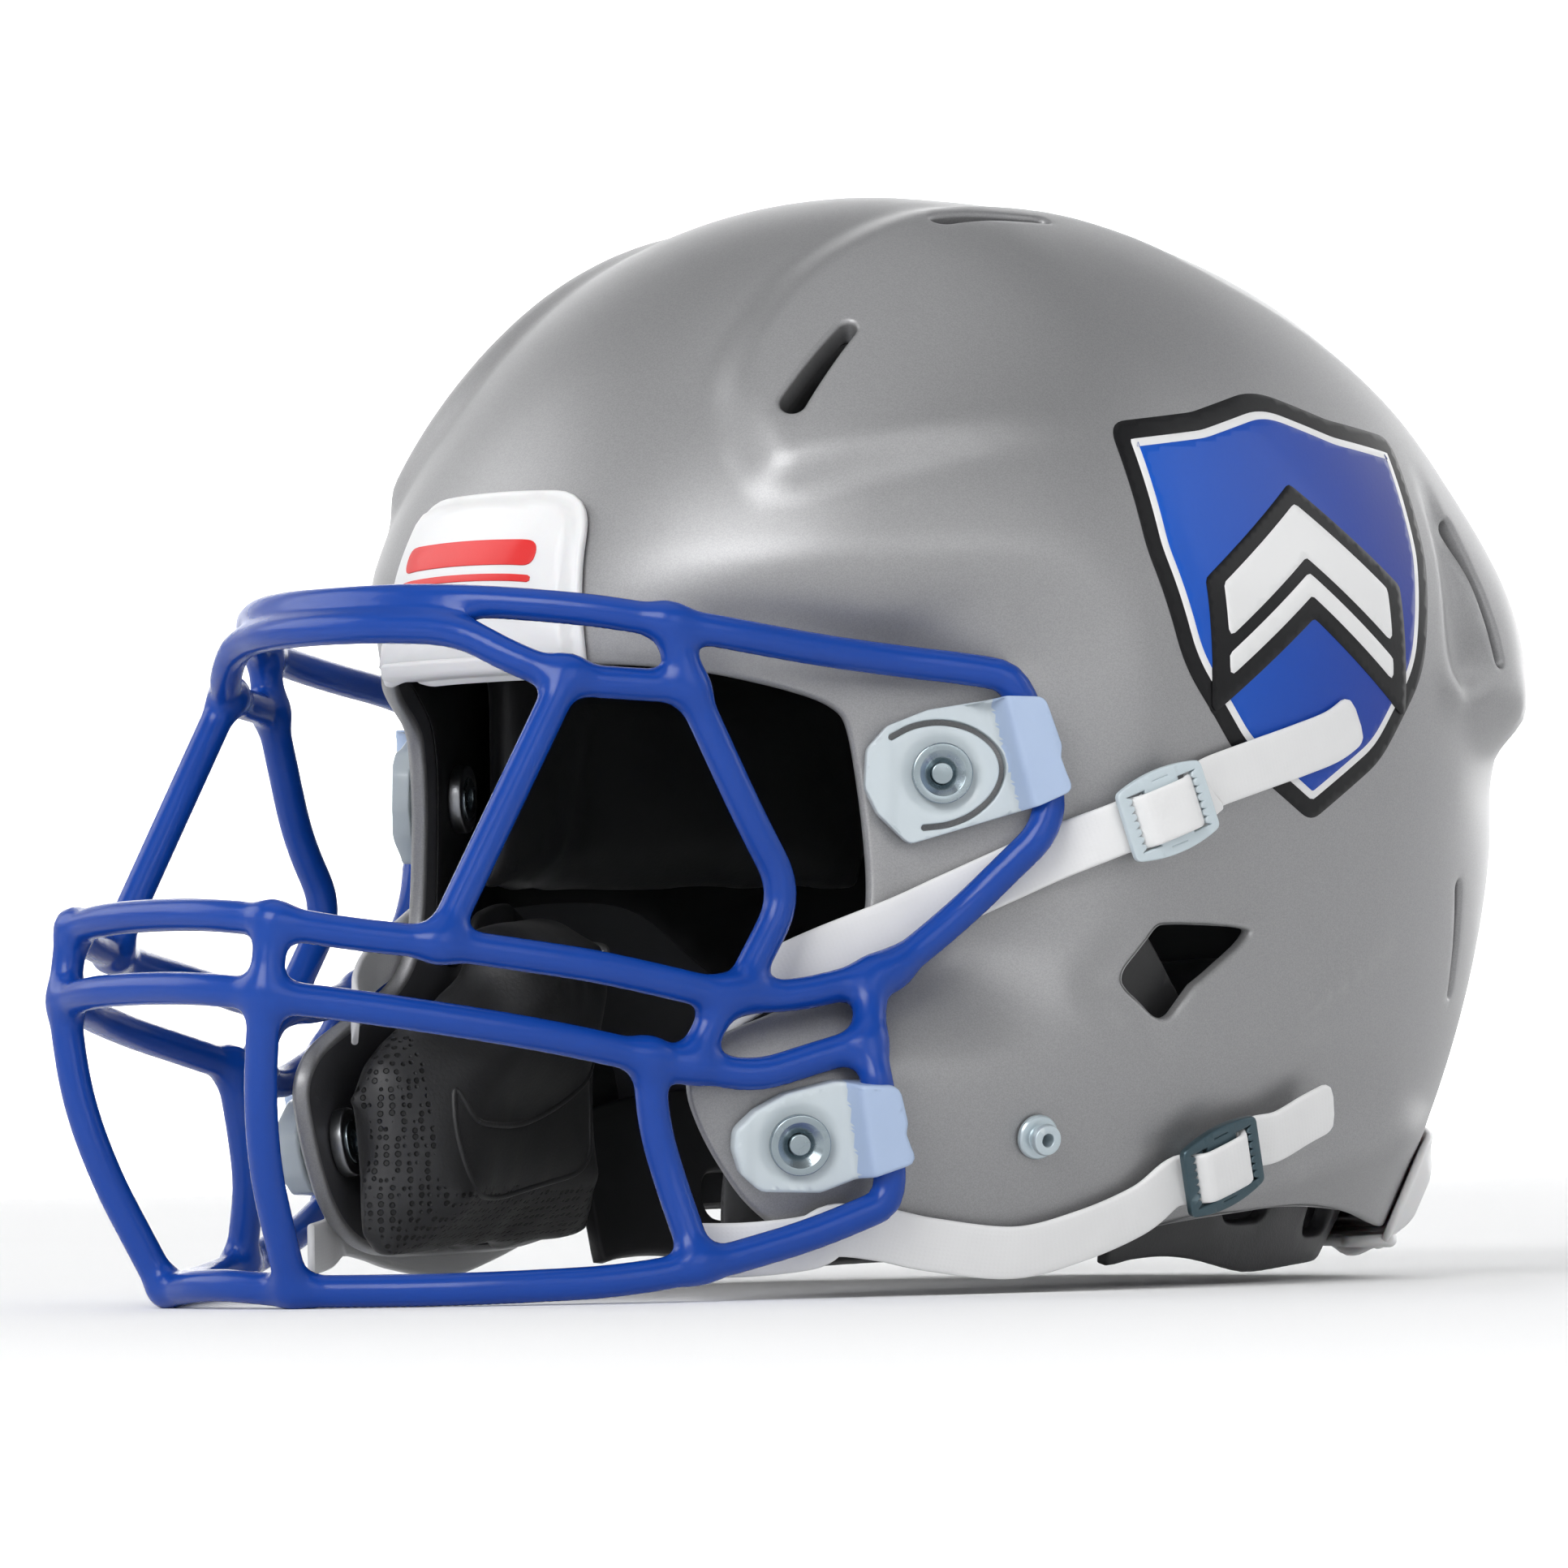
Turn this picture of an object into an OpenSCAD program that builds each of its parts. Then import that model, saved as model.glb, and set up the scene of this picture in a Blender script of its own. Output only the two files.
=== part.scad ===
// American football helmet: moulded shell, welded wire faceguard on four clips,
// foam liner, two bumpers and a four-point strap set on swivelling buckles.
// Z is up from the surface it rests on, the face looks along -Y, and the
// wearer's left is +X. Left-hand pieces are drawn and right-hand ones mirrored.

/* [Shell] */
// Half the width of the shell at its widest station
half_w = 115; // [113:0.5:117]
// Reach of the shell in front of its widest station
reach_front = 121.6; // [120:0.2:123]
// Reach of the shell behind its widest station
reach_rear = 163.8; // [161:0.2:166]
// Height of the crown above the ground
top_z = 252.3; // [249:0.1:255]
// Wall thickness of the shell
wall = 4; // [3.4:0.1:4.4]

/* [Faceguard] */
// Diameter of the coated wire
wire_d = 7.2; // [6.6:0.1:7.4]
// Longest run of a bend, measured from its corner
bend = 9; // [6:0.5:10]

/* [Clips and release buttons] */
// Thickness of a clip plate over the shell
clip_t = 6.5; // [6:0.1:7]
// Radius of a release housing's visible ring
ring_r = 6.8; // [6.4:0.1:7]
// Radius of a release pin
pin_r = 2.4; // [2:0.1:2.6]
// Travel of a release pin
pin_travel = 2; // [1.5:0.1:2.2]

/* [Straps] */
// Width of the webbing
strap_w = 12; // [10:0.5:12.5]
// Thickness of the webbing
strap_t = 1.6; // [1.2:0.1:1.8]
// Length of a buckle frame along the strap
buckle_l = 23; // [22:0.5:24]
// Width of a buckle frame across the strap
buckle_w = 19.5; // [19:0.5:21]

/* [Liner] */
// Gap between the shell and its pads
pad_gap = 1; // [0.6:0.1:1.4]
// Thickness of the crown and side pads
pad_t = 16; // [12:1:18]
// Thickness of the jaw pads
jaw_pad_t = 26; // [20:1:27]

/* [Hidden] */
$fn = 48;

mid_y = 24;            // station of greatest width
shoulder_z = 124;      // height where the dome meets the lower shell
front_m = 2;           // exponents of the plan's front and rear halves
rear_m = 2.28;
wire_sides = 8;
around = 64;           // facets of the shell around its plan
jaw_top = 1.5;         // level of the jaw flap's upper edge

// Places on the shell as [plan angle, level]; level 0 is the crown,
// 1 the shoulder and 2 the ground.
upper_clip_at = [-27, 1.07];
lower_clip_at = [-40, 1.72];
high_stud_at = [-7.5, 1.14];
low_stud_at = [1.5, 1.77];
spare_stud_at = [-16.5, 1.72];
high_strap_tilt = 20;
low_strap_tilt = 21;

function smooth(t) = let (c = min(max(t, 0), 1)) c * c * (3 - 2 * c);
function spow(x, p) = sign(x) * pow(abs(x), p);
function fade(s, p) = pow(max(0, 1 - pow(s, p)), 1 / p);
function unit(v) = v / norm(v);
function flip(points) = [for (p = points) [-p[0], p[1], p[2]]];
function reversed(list) = [for (i = [len(list) - 1:-1:0]) list[i]];

// Outer surface: a superelliptic dome over a skirt that draws in at the neck,
// runs forward to the jaw and is pinched at the temples.
function shell_at(a, v) = let (
    s = v <= 1 ? cos(90 * v) : 0,
    z = v <= 1 ? shoulder_z + (top_z - shoulder_z) * s : shoulder_z * (2 - v),
    drop = max(0, shoulder_z - z),
    w = half_w * fade(s, 2.16) - 0.0011 * drop * drop,
    f = reach_front * fade(s, 1.91) + 28 * smooth(drop / 80),
    r = reach_rear * fade(s, 2.35) - 0.003 * drop * drop,
    m = sin(a) < 0 ? front_m : rear_m,
    y = mid_y + (sin(a) < 0 ? f : r) * spow(sin(a), 2 / m),
    pinch = 0.17 * smooth((10 - y) / 50) * smooth((168 - z) / 30) * smooth((z - 45) / 35)
) [w * spow(cos(a), 2 / m) * (1 - pinch), y, z];

function shell_normal(a, v) = unit(cross(
    shell_at(a + 1, v) - shell_at(a - 1, v),
    shell_at(a, v - 0.01) - shell_at(a, v + 0.01)
));

function off_shell(a, v, h) = shell_at(a, v) + h * shell_normal(a, v);

// A solid that follows the shell between two plan angles, two levels and two
// heights off its surface. edge thins the solid towards its rim, and step sets
// its first angle back by that much above the jaw.
function patch_points(a0, a1, v0, v1, h0, h1, na, nv, edge, step) = [
    for (k = [0, 1]) for (i = [0:na]) for (j = [0:nv]) let (
        v = v0 + (v1 - v0) * j / nv,
        first = a0 + step * smooth((jaw_top - v) / 0.13),
        rim = min(sin(180 * i / na), sin(180 * j / nv)),
        far = h0 + (h1 - h0) * (edge + (1 - edge) * smooth(rim * 2.2))
    ) off_shell(first + (a1 - first) * i / na, v, k == 0 ? h0 : far)
];

module patch(a0, a1, v0, v1, h0, h1, na = 8, nv = 6, edge = 1, step = 0) {
    n = (na + 1) * (nv + 1);
    swap = h1 < h0;
    at = function (k, i, j) k * n + i * (nv + 1) + j;
    quads = concat(
        [for (i = [0:na - 1]) for (j = [0:nv - 1])
            [at(1, i, j), at(1, i + 1, j), at(1, i + 1, j + 1), at(1, i, j + 1)]],
        [for (i = [0:na - 1]) for (j = [0:nv - 1])
            [at(0, i, j), at(0, i, j + 1), at(0, i + 1, j + 1), at(0, i + 1, j)]],
        [for (i = [0:na - 1]) [at(0, i, 0), at(0, i + 1, 0), at(1, i + 1, 0), at(1, i, 0)]],
        [for (i = [0:na - 1]) [at(0, i + 1, nv), at(0, i, nv), at(1, i, nv), at(1, i + 1, nv)]],
        [for (j = [0:nv - 1]) [at(0, 0, j + 1), at(0, 0, j), at(1, 0, j), at(1, 0, j + 1)]],
        [for (j = [0:nv - 1]) [at(0, na, j), at(0, na, j + 1), at(1, na, j + 1), at(1, na, j)]]
    );
    triangles = [for (q = quads) each [[q[0], q[1], q[2]], [q[0], q[2], q[3]]]];
    polyhedron(
        patch_points(a0, a1, v0, v1, h0, h1, na, nv, edge, step),
        swap ? [for (t = triangles) [t[2], t[1], t[0]]] : triangles
    );
}

// Rounds the corners of a bent path: three rings at a real bend, one at a slight one.
function corner(p, q, r, longest) = let (
    d = min(longest, 0.45 * norm(p - q), 0.45 * norm(r - q)),
    a = q + d * unit(p - q),
    b = q + d * unit(r - q),
    middle = (a + 2 * q + b) / 4,
    turn = 180 - acos(min(1, max(-1, unit(p - q) * unit(r - q))))
) turn < 13 ? [middle] : [a, middle, b];

function bent(path, longest) = concat(
    [path[0]],
    [for (i = [1:len(path) - 2]) each corner(path[i - 1], path[i], path[i + 1], longest)],
    [path[len(path) - 1]]
);

function direction(path, i) = unit(path[min(i + 1, len(path) - 1)] - path[max(i - 1, 0)]);

// Side vectors carried along a path with no twist.
function carried(path, i, sides) = i >= len(path) ? sides : let (
    t = direction(path, i),
    last = sides[i - 1],
    next = unit(last - (last * t) * t)
) carried(path, i + 1, concat(sides, [next]));

function first_side(path) = let (
    t = direction(path, 0),
    seed = abs(t[2]) < 0.8 ? [0, 0, 1] : [0, 1, 0]
) unit(seed - (seed * t) * t);

module loft(rings, n) {
    last = len(rings) - 1;
    points = [for (r = rings) each r];
    polyhedron(points, concat(
        [[for (k = [n - 1:-1:0]) k]],
        [[for (k = [0:n - 1]) last * n + k]],
        [for (i = [0:last - 1]) for (k = [0:n - 1]) each let (
            a = i * n + k,
            b = i * n + (k + 1) % n
        ) [[a, b, a + n], [b, b + n, a + n]]]
    ));
}

module wire(path) {
    p = len(path) > 2 ? bent(path, bend) : path;
    sides = carried(p, 1, [first_side(p)]);
    color("royalblue") loft([for (i = [0:len(p) - 1]) let (
        t = direction(p, i),
        u = sides[i],
        w = cross(u, t)
    ) [for (k = [0:wire_sides - 1]) let (g = 360 * k / wire_sides)
        p[i] + wire_d / 2 * (cos(g) * u + sin(g) * w)]], wire_sides);
}

// Webbing: each stop is [point, outward normal].
module webbing(stops) {
    pts = [for (s = stops) s[0]];
    color("whitesmoke") loft([for (i = [0:len(stops) - 1]) let (
        t = direction(pts, i),
        n0 = stops[i][1],
        n = unit(n0 - (n0 * t) * t),
        side = cross(n, t),
        a = strap_w / 2,
        b = strap_t / 2
    ) [
        pts[i] + a * side + b * n, pts[i] + a * side - b * n,
        pts[i] - a * side - b * n, pts[i] - a * side + b * n
    ]], 4);
}

// Places children on the shell: X rearward, Y up, Z outward.
module on_shell(at) {
    n = shell_normal(at[0], at[1]);
    translate(shell_at(at[0], at[1]))
        rotate([0, acos(n[2]), atan2(n[1], n[0])]) rotate(90) children();
}

// A point given in that same local frame.
function local_point(at, p) = let (
    n = shell_normal(at[0], at[1]),
    x = unit([-n[1], n[0], 0]),
    y = cross(n, x)
) shell_at(at[0], at[1]) + p[0] * x + p[1] * y + p[2] * n;

module both_sides() {
    children();
    mirror([1, 0, 0]) children();
}

module slot_2d(length, width) {
    square([length - width, width], center = true);
    for (s = [-1, 1]) translate([s * (length - width) / 2, 0]) circle(width / 2);
}

module rounded_2d(length, width, r) {
    square([length - 2 * r, width], center = true);
    square([length, width - 2 * r], center = true);
    for (x = [-1, 1]) for (y = [-1, 1])
        translate([x * (length / 2 - r), y * (width / 2 - r)]) circle(r);
}

module tube(r_out, r_in, z0, z1) {
    difference() {
        translate([0, 0, z0]) cylinder(r = r_out, h = z1 - z0);
        translate([0, 0, z0 - 1]) cylinder(r = r_in, h = z1 - z0 + 2);
    }
}

/* Shell */

levels = concat([for (i = [1:12]) i / 12], [for (i = [1:9]) 1 + i * 0.98 / 9]);

// Closed dome between the surface and the ground, h in from the surface.
module dome(h) {
    n = around;
    rings = [for (v = levels) [for (k = [0:n - 1]) off_shell(360 * k / n, v, h)]];
    last = len(levels) - 1;
    points = concat([[0, mid_y, top_z + h]], [for (r = rings) each r],
        [[0, mid_y, rings[last][0][2]]]);
    foot = len(points) - 1;
    polyhedron(points, concat(
        [for (k = [0:n - 1]) [0, 1 + (k + 1) % n, 1 + k]],
        [for (i = [0:last - 1]) for (k = [0:n - 1]) each let (
            a = 1 + i * n + k,
            b = 1 + i * n + (k + 1) % n
        ) [[a, b, a + n], [b, b + n, a + n]]],
        [for (k = [0:n - 1]) [foot, 1 + last * n + k, 1 + last * n + (k + 1) % n]]
    ));
}

// Side views, as [Y, Z], of what is cut away below the brow and the lower edge.
face_cut = [
    [-210, 143.5], [-98, 143.5], [-86, 142.5], [-73, 140], [-60, 136], [-51, 131.5], [-48, 127],
    [-46, 110], [-45.5, 92], [-47, 82], [-52, 73], [-60, 67.5], [-72, 62.5], [-84, 57.5],
    [-89.5, 52.5], [-91, 46.5], [-89, 39], [-85, 30.5], [-79, 21.5], [-71, 15], [-60, 11],
    [-46, 9.5], [-20, 9.5], [0, 10.5], [21, 14.5], [46, 17], [66, 18], [90, 16.5], [113, 13],
    [140, 12], [210, 12], [210, -20], [-210, -20]
];
ear_hole = [[-1, 69], [12, 82.5], [45, 81.5], [14.5, 57.5]];
ear_hole_r = 4;

module across(points) {
    rotate([90, 0, 90]) translate([0, 0, -150]) linear_extrude(300) polygon(points);
}

module ear_hole_cut() {
    rotate([90, 0, 90]) translate([0, 0, -150]) linear_extrude(300)
        offset(r = ear_hole_r) offset(delta = -ear_hole_r) polygon(ear_hole);
}

module slot_cut(at, turn, length, width) {
    on_shell(at) rotate(turn) translate([0, 0, -12]) linear_extrude(24) slot_2d(length, width);
}

module shell_holes() {
    ear_hole_cut();
    both_sides() {
        slot_cut([-47.5, 0.56], 62, 30, 6.5);
        slot_cut([-5, 0.262], 2, 34, 6);
        slot_cut([39, 0.83], -76, 38, 6);
        slot_cut([37.5, 1.37], -80, 30, 6);
        for (at = [upper_clip_at, lower_clip_at]) on_shell(at)
            translate([0, 0, -12]) cylinder(r = 5.4, h = 24);
        for (at = [high_stud_at, low_stud_at, spare_stud_at]) on_shell(at)
            translate([0, 0, -12]) cylinder(r = 2.3, h = 24, $fn = 20);
    }
}

module shell() {
    color("silver") resize([0, 0, 0]) difference() {
        dome(0);
        dome(-wall);
        translate([0, 0, -0.5]) across([for (p = face_cut) [p[0], p[1] + 0.5]]);
        shell_holes();
    }
}

/* Bumpers */

module front_bumper() {
    color("white") resize([0, 0, 0]) union() {
        patch(-109, -71, 0.705, 0.93, 0.3, 7.5, 10, 7, 0.45);
        patch(-107, -73, 0.912, 0.935, -9, 6.5, 10, 1);
    }
}

module rear_bumper() {
    color("white") resize([0, 0, 0]) union() {
        patch(46, 134, 1.715, 1.935, 0.8, 5.5, 16, 4, 0.5);
        patch(48, 132, 1.922, 1.945, -9, 4.5, 16, 1);
    }
}

/* Faceguard */

upper_wire_in = local_point(upper_clip_at, [18.4, 15.5, 8.6]);
upper_wire_out = local_point(upper_clip_at, [24, -7.5, 8.6]);
lower_wire_in = local_point(lower_clip_at, [17, 14.5, 7]);
lower_wire_out = local_point(lower_clip_at, [20.4, -7.5, 7]);

upper_bar_path = [
    [0, -134, 155.5], [16, -132.7, 155.5], [32, -128, 155], [48, -118.5, 153.5],
    [61, -107, 151.5], [70.7, -96.5, 148.8], [77.5, -84, 146.2], [82.5, -65.5, 143],
    [88, -46.5, 140.5], [96, -31.5, 138.5], [102, -24.5, 136.8],
    upper_wire_in, upper_wire_out,
    [107.2, -20.5, 101], [102.5, -25, 95], [97, -32, 86.5], [92.8, -41, 78.5], [90, -50, 72]
];
brow_bar_path = [
    [0, -139.4, 149.6], [18, -137.4, 149.4], [33, -131.8, 148.6], [41, -129, 146.8],
    [48, -125.5, 142.6], [54.5, -121, 139], [60, -114, 136.4], [66, -103.5, 135.4],
    [72.6, -92.8, 134.6]
];
nose_upper_path = [
    [0, -184.5, 86.5], [20, -183.8, 86], [35.5, -180.8, 84.2], [46, -168, 81.2],
    [57.3, -152.1, 78.9], [66, -135.5, 76], [71.5, -122, 73.8], [75, -107.7, 70.8],
    [77.5, -95, 68], [79, -85, 66.4], [83, -71.5, 66.6], [87, -59, 69.4], [90, -50, 72]
];
nose_lower_path = [
    [0, -188.5, 70.5], [20, -187.8, 70], [36, -183.5, 68.2], [44, -171.5, 66.3],
    [51, -161.8, 64.5], [61.4, -143.1, 61], [67.7, -125.3, 57.6], [72.2, -107, 53.6],
    [76, -96, 51.4], [82.5, -84, 48.8], [87.5, -72, 52.6], [93.5, -61, 56]
];
lower_bar_path = [
    [89, -54.5, 70.5], [91.5, -58, 64], [93.5, -60.5, 55],
    lower_wire_in, lower_wire_out,
    [96.5, -59, 20.5], [89, -74.3, 14], [80, -98.2, 7.6], [71, -115.5, 4.8],
    [53, -137.4, 3.8], [37, -151.6, 3.6], [22, -166, 3.8], [8, -169.5, 5], [0, -170, 5.2]
];
eye_bar_path = [[59, -116.2, 138], [58.2, -134.5, 108.5], [57.3, -152.8, 79]];
side_bar_path = [
    [70.7, -96.8, 149], [72.6, -92.8, 134.6], [78.4, -80.5, 105], [79.4, -70.5, 89],
    [78.2, -84.5, 68]
];
chin_bar_path = [
    [35, -181, 84.6], [35.3, -183.8, 68.5], [32, -183, 47], [28, -178.4, 29.3], [22.5, -167, 5]
];
jaw_bar_path = [
    [72.3, -106.4, 53.8], [71.3, -104, 38], [73, -101, 26], [79, -98.8, 9]
];
link_ends = [[78, -89, 66.3], [76, -97, 52.2]];

// The whole bar from its left half, which starts or ends on the centre plane.
function from_centre(half) = concat(flip(reversed(half)), [for (i = [1:len(half) - 1]) half[i]]);

module upper_bar() {
    wire(from_centre(upper_bar_path));
}

module brow_bar() {
    wire(from_centre(brow_bar_path));
}

module nose_bar_upper() {
    wire(from_centre(nose_upper_path));
}

module nose_bar_lower() {
    wire(from_centre(nose_lower_path));
}

module lower_bar() {
    wire(from_centre(reversed(lower_bar_path)));
}

module short_links() {
    span = link_ends[1] - link_ends[0];
    color("royalblue") both_sides() translate(link_ends[0])
        rotate([0, acos(span[2] / norm(span)), atan2(span[1], span[0])])
            cylinder(d = wire_d, h = norm(span));
}

/* Clips, release housings and pins */

upper_outline = [
    [-17.5, 6], [-12.5, 11.5], [-3, 15], [14, 17.5], [23, 17], [29.5, -5], [21, -8.5],
    [-8, -16.5], [-15.5, -9], [-18, -3]
];
lower_outline = [
    [-14.6, 3], [-10, 7.5], [-2.8, 11.5], [8, 14], [21.5, 13.5], [25.5, -4], [14, -8],
    [5.2, -11.2], [-8.6, -10.8], [-13.2, -6.5], [-15, -1]
];
loop_wall = 2.3;

module clip(outline, wire_in, wire_out, shell_gap) {
    middle = (wire_in + wire_out) / 2;
    run = wire_out - wire_in;
    turn = atan2(run[1], run[0]) + 90;
    h = wire_in[2];
    reach = wire_d / 2 + loop_wall;
    difference() {
        union() {
            translate([0, 0, shell_gap]) linear_extrude(clip_t - shell_gap) polygon(outline);
            translate([middle[0], middle[1], shell_gap]) rotate(turn)
                linear_extrude(h + reach - shell_gap)
                    square([2 * reach, norm(run) - 2], center = true);
        }
        translate([middle[0], middle[1], h]) rotate(turn) rotate([90, 0, 0])
            translate([0, 0, -30]) cylinder(d = wire_d + 0.5, h = 60);
        translate([middle[0], middle[1], -1]) rotate(turn)
            translate([-(wire_d + 0.5) / 2, -30, 0]) cube([wire_d + 0.5, 60, h + 1]);
        translate([0, 0, -1]) cylinder(r = 5.3, h = 30);
    }
}

module upper_clip_l() {
    color("lightsteelblue") on_shell(upper_clip_at)
        clip(upper_outline, [18.4, 15.5, 8.6], [24, -7.5, 8.6], 2.4);
}

module lower_clip_l() {
    color("lightsteelblue") on_shell(lower_clip_at)
        clip(lower_outline, [17, 14.5, 7], [20.4, -7.5, 7], 0.8);
}

// Barrel through the clip and shell with a dished ring on top and a pin bore.
module housing() {
    difference() {
        union() {
            translate([0, 0, -8]) cylinder(r = 5, h = clip_t + 8.1);
            translate([0, 0, clip_t + 0.05]) cylinder(r = ring_r, h = 1.8);
        }
        translate([0, 0, clip_t - 0.3]) cylinder(r1 = pin_r + 0.3, r2 = ring_r - 1.6, h = 2.3);
        translate([0, 0, -6.6]) cylinder(r = pin_r + 0.05, h = 30);
    }
}

module release_housings() {
    color("lightslategray") both_sides() {
        on_shell(upper_clip_at) housing();
        on_shell(lower_clip_at) housing();
    }
}

module release_pin() {
    color("slategray") translate([0, 0, -1]) cylinder(r = pin_r, h = clip_t + 2);
}

// Spring at its solid height, below the pin's lowest position.
module pin_spring() {
    for (k = [0:1]) translate([0, 0, -5.9 + k * 1.3])
        rotate_extrude() translate([1.5, 0]) circle(0.55, $fn = 16);
}

module pin_springs() {
    color("gainsboro") both_sides() {
        on_shell(upper_clip_at) pin_spring();
        on_shell(lower_clip_at) pin_spring();
    }
}

module clip_nuts() {
    color("dimgray") both_sides() {
        on_shell(upper_clip_at) tube(8, 5.05, -wall - 3.6, -wall - 0.6);
        on_shell(lower_clip_at) tube(8, 5.05, -wall - 3.6, -wall - 0.6);
    }
}

/* Snap studs */

stud_top = 5.6;
stud_reach = 7.5;      // depth of a stud's inner end below the shell's surface

module stud(hole) {
    difference() {
        union() {
            translate([0, 0, -stud_reach]) cylinder(r = 2, h = stud_reach + 0.9);
            translate([0, 0, 0.7]) cylinder(r = 5, h = 1.3);
            translate([0, 0, 1.9]) cylinder(r = 2.7, h = 1.6);
            translate([0, 0, 3.4]) cylinder(r = 3.6, h = stud_top - 3.4);
        }
        if (hole) translate([0, 0, 0.5]) cylinder(r = 1.5, h = 10);
    }
}

module snap_studs() {
    color("lightsteelblue") both_sides() {
        on_shell(high_stud_at) stud(false);
        on_shell(low_stud_at) stud(false);
    }
}

module spare_stud_l() {
    color("lightsteelblue") on_shell(spare_stud_at) stud(true);
}

module stud_nuts() {
    color("dimgray") both_sides() {
        for (at = [high_stud_at, low_stud_at, spare_stud_at])
            on_shell(at) tube(4.4, 2.05, -wall - 3.1, -wall - 1.1);
    }
}

/* Buckles and straps */

plate_z = 5.9;
plate_t = 1.8;
window_l = 5.6;

// Frame with two toothed windows over a socket that snaps on the stud.
module buckle() {
    translate([0, 0, plate_z]) linear_extrude(plate_t) difference() {
        rounded_2d(buckle_l, buckle_w, 3.5);
        for (s = [-1, 1]) translate([s * (buckle_l / 2 - 2 - window_l / 2), 0])
            square([window_l, strap_w + 1.6], center = true);
        circle(1.2);
    }
    for (s = [-1, 1]) for (k = [-3:3])
        translate([s * (buckle_l / 2 - 2.6), k * 1.8, plate_z])
            linear_extrude(plate_t) rotate(s > 0 ? 180 : 0)
                polygon([[-0.9, -0.8], [0.9, 0], [-0.9, 0.8]]);
    tube(5.2, 3.75, 2.5, plate_z + 0.1);
}

module high_buckle_l() {
    color("lightsteelblue") on_shell(high_stud_at) rotate(high_strap_tilt) buckle();
}

module low_buckle_l() {
    color("slategray") on_shell(low_stud_at) rotate(low_strap_tilt) buckle();
}

lie = 3.1;             // height of the webbing's middle over the shell
rise = 9.1;            // and over the middle of a buckle

function stop(a, v, h) = [off_shell(a, v, h), shell_normal(a, v)];

// A stop in the buckle's own frame, x along the strap.
function buckle_stop(at, tilt, x, h) = [
    local_point(at, [x * cos(tilt), x * sin(tilt), h]), shell_normal(at[0], at[1])
];

function over_buckle(at, tilt) = [
    buckle_stop(at, tilt, -13.2, 3.4),
    buckle_stop(at, tilt, -8.2, 4.2),
    buckle_stop(at, tilt, -6.2, 8.4),
    buckle_stop(at, tilt, -2.5, rise),
    buckle_stop(at, tilt, 2.5, rise),
    buckle_stop(at, tilt, 6.2, 8.4),
    buckle_stop(at, tilt, 8.2, 4.2),
    buckle_stop(at, tilt, 13.2, 3.4)
];

module high_strap_tail_l() {
    webbing(concat(over_buckle(high_stud_at, high_strap_tilt), [
        stop(-1, 1.09, lie), stop(3, 1.058, lie), stop(7, 1.03, lie),
        stop(11, 1.002, lie), stop(14, 0.98, lie)
    ]));
}

module low_strap_tail_l() {
    webbing(concat(over_buckle(low_stud_at, low_strap_tilt), [
        stop(8.5, 1.725, lie), stop(12, 1.695, lie), stop(15.5, 1.67, lie)
    ]));
}

module high_strap_l() {
    webbing([
        buckle_stop(high_stud_at, high_strap_tilt, -15.2, 3.3),
        stop(-16, 1.213, lie), stop(-20, 1.255, lie), stop(-24.5, 1.3, lie),
        stop(-29, 1.338, lie), [[77.5, -60, 75.5], [0.86, -0.5, 0.1]],
        [[71.5, -69.5, 70.6], [0.8, -0.58, 0.15]]
    ]);
}

module low_strap_l() {
    webbing([
        buckle_stop(low_stud_at, low_strap_tilt, -16.4, 3.3),
        stop(-5.5, 1.852, lie), stop(-11.5, 1.896, lie), stop(-18, 1.922, lie),
        stop(-26, 1.905, lie), stop(-31, 1.885, lie), stop(-35.5, 1.876, lie),
        [[82.8, -69.5, 12.3], [0.82, -0.57, 0]],
        [[75.5, -80.5, 11], [0.78, -0.62, 0]], [[65, -89.5, 11], [0.72, -0.69, 0]]
    ]);
}

/* Liner */

inside = -wall - pad_gap;
rim_share = 0.35;      // thickness of a pad's rim over that of its middle
front_pad_t = 12;
neck_pad_t = 12.6;
frame_h = -10.5;       // height of the neck frame's outer face off the shell
frame_t = 4.3;

module pad(a0, a1, v0, v1, t, na = 8, nv = 6) {
    color("dimgray") patch(a0, a1, v0, v1, inside, inside - t, na, nv, rim_share);
}

// Pads behind a nut or a stud stand clear of its inner end.
module jaw_pad_l() {
    outer = -stud_reach - 1.5 - pad_gap;
    color("dimgray") patch(-46, -6, 1.29, 1.95, outer, outer - jaw_pad_t, 8, 8, rim_share, 17);
}

module side_pad_l() {
    outer = -stud_reach - 0.7 - pad_gap;
    color("dimgray") patch(-24, 30, 0.84, 1.26, outer, outer - pad_t, 8, 6, rim_share);
}

module front_pad() {
    pad(-128, -52, 0.66, 0.885, front_pad_t, 12, 5);
}

module crown_pads() {
    for (box = [[-125, -55, 0.30, 0.58], [55, 125, 0.26, 0.56], [-38, 38, 0.38, 0.70],
        [142, 218, 0.38, 0.70]])
        pad(box[0], box[1], box[2], box[3], pad_t, 6, 4);
    color("dimgray") translate([0, mid_y, top_z - wall - 20]) linear_extrude(13)
        polygon([for (k = [0:5]) 27 * [cos(60 * k), 1.2 * sin(60 * k)]]);
}

module back_pad() {
    pad(58, 122, 0.68, 1.22, pad_t);
}

module neck_pad() {
    outer = frame_h - frame_t - 0.6;
    color("dimgray") patch(58, 122, 1.42, 1.84, outer, outer - neck_pad_t, 10, 5, rim_share);
}

module neck_frame() {
    color("dimgray") resize([0, 0, 0]) difference() {
        patch(-4, 184, 1.62, 2, frame_h, frame_h - frame_t, 30, 3);
        translate([0, 0, -1]) cube([400, 400, 2], center = true);
        for (a = [22, 44, 136, 158]) on_shell([a, 1.87])
            translate([0, 0, -30]) linear_extrude(40) slot_2d(24, 13);
    }
}

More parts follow.
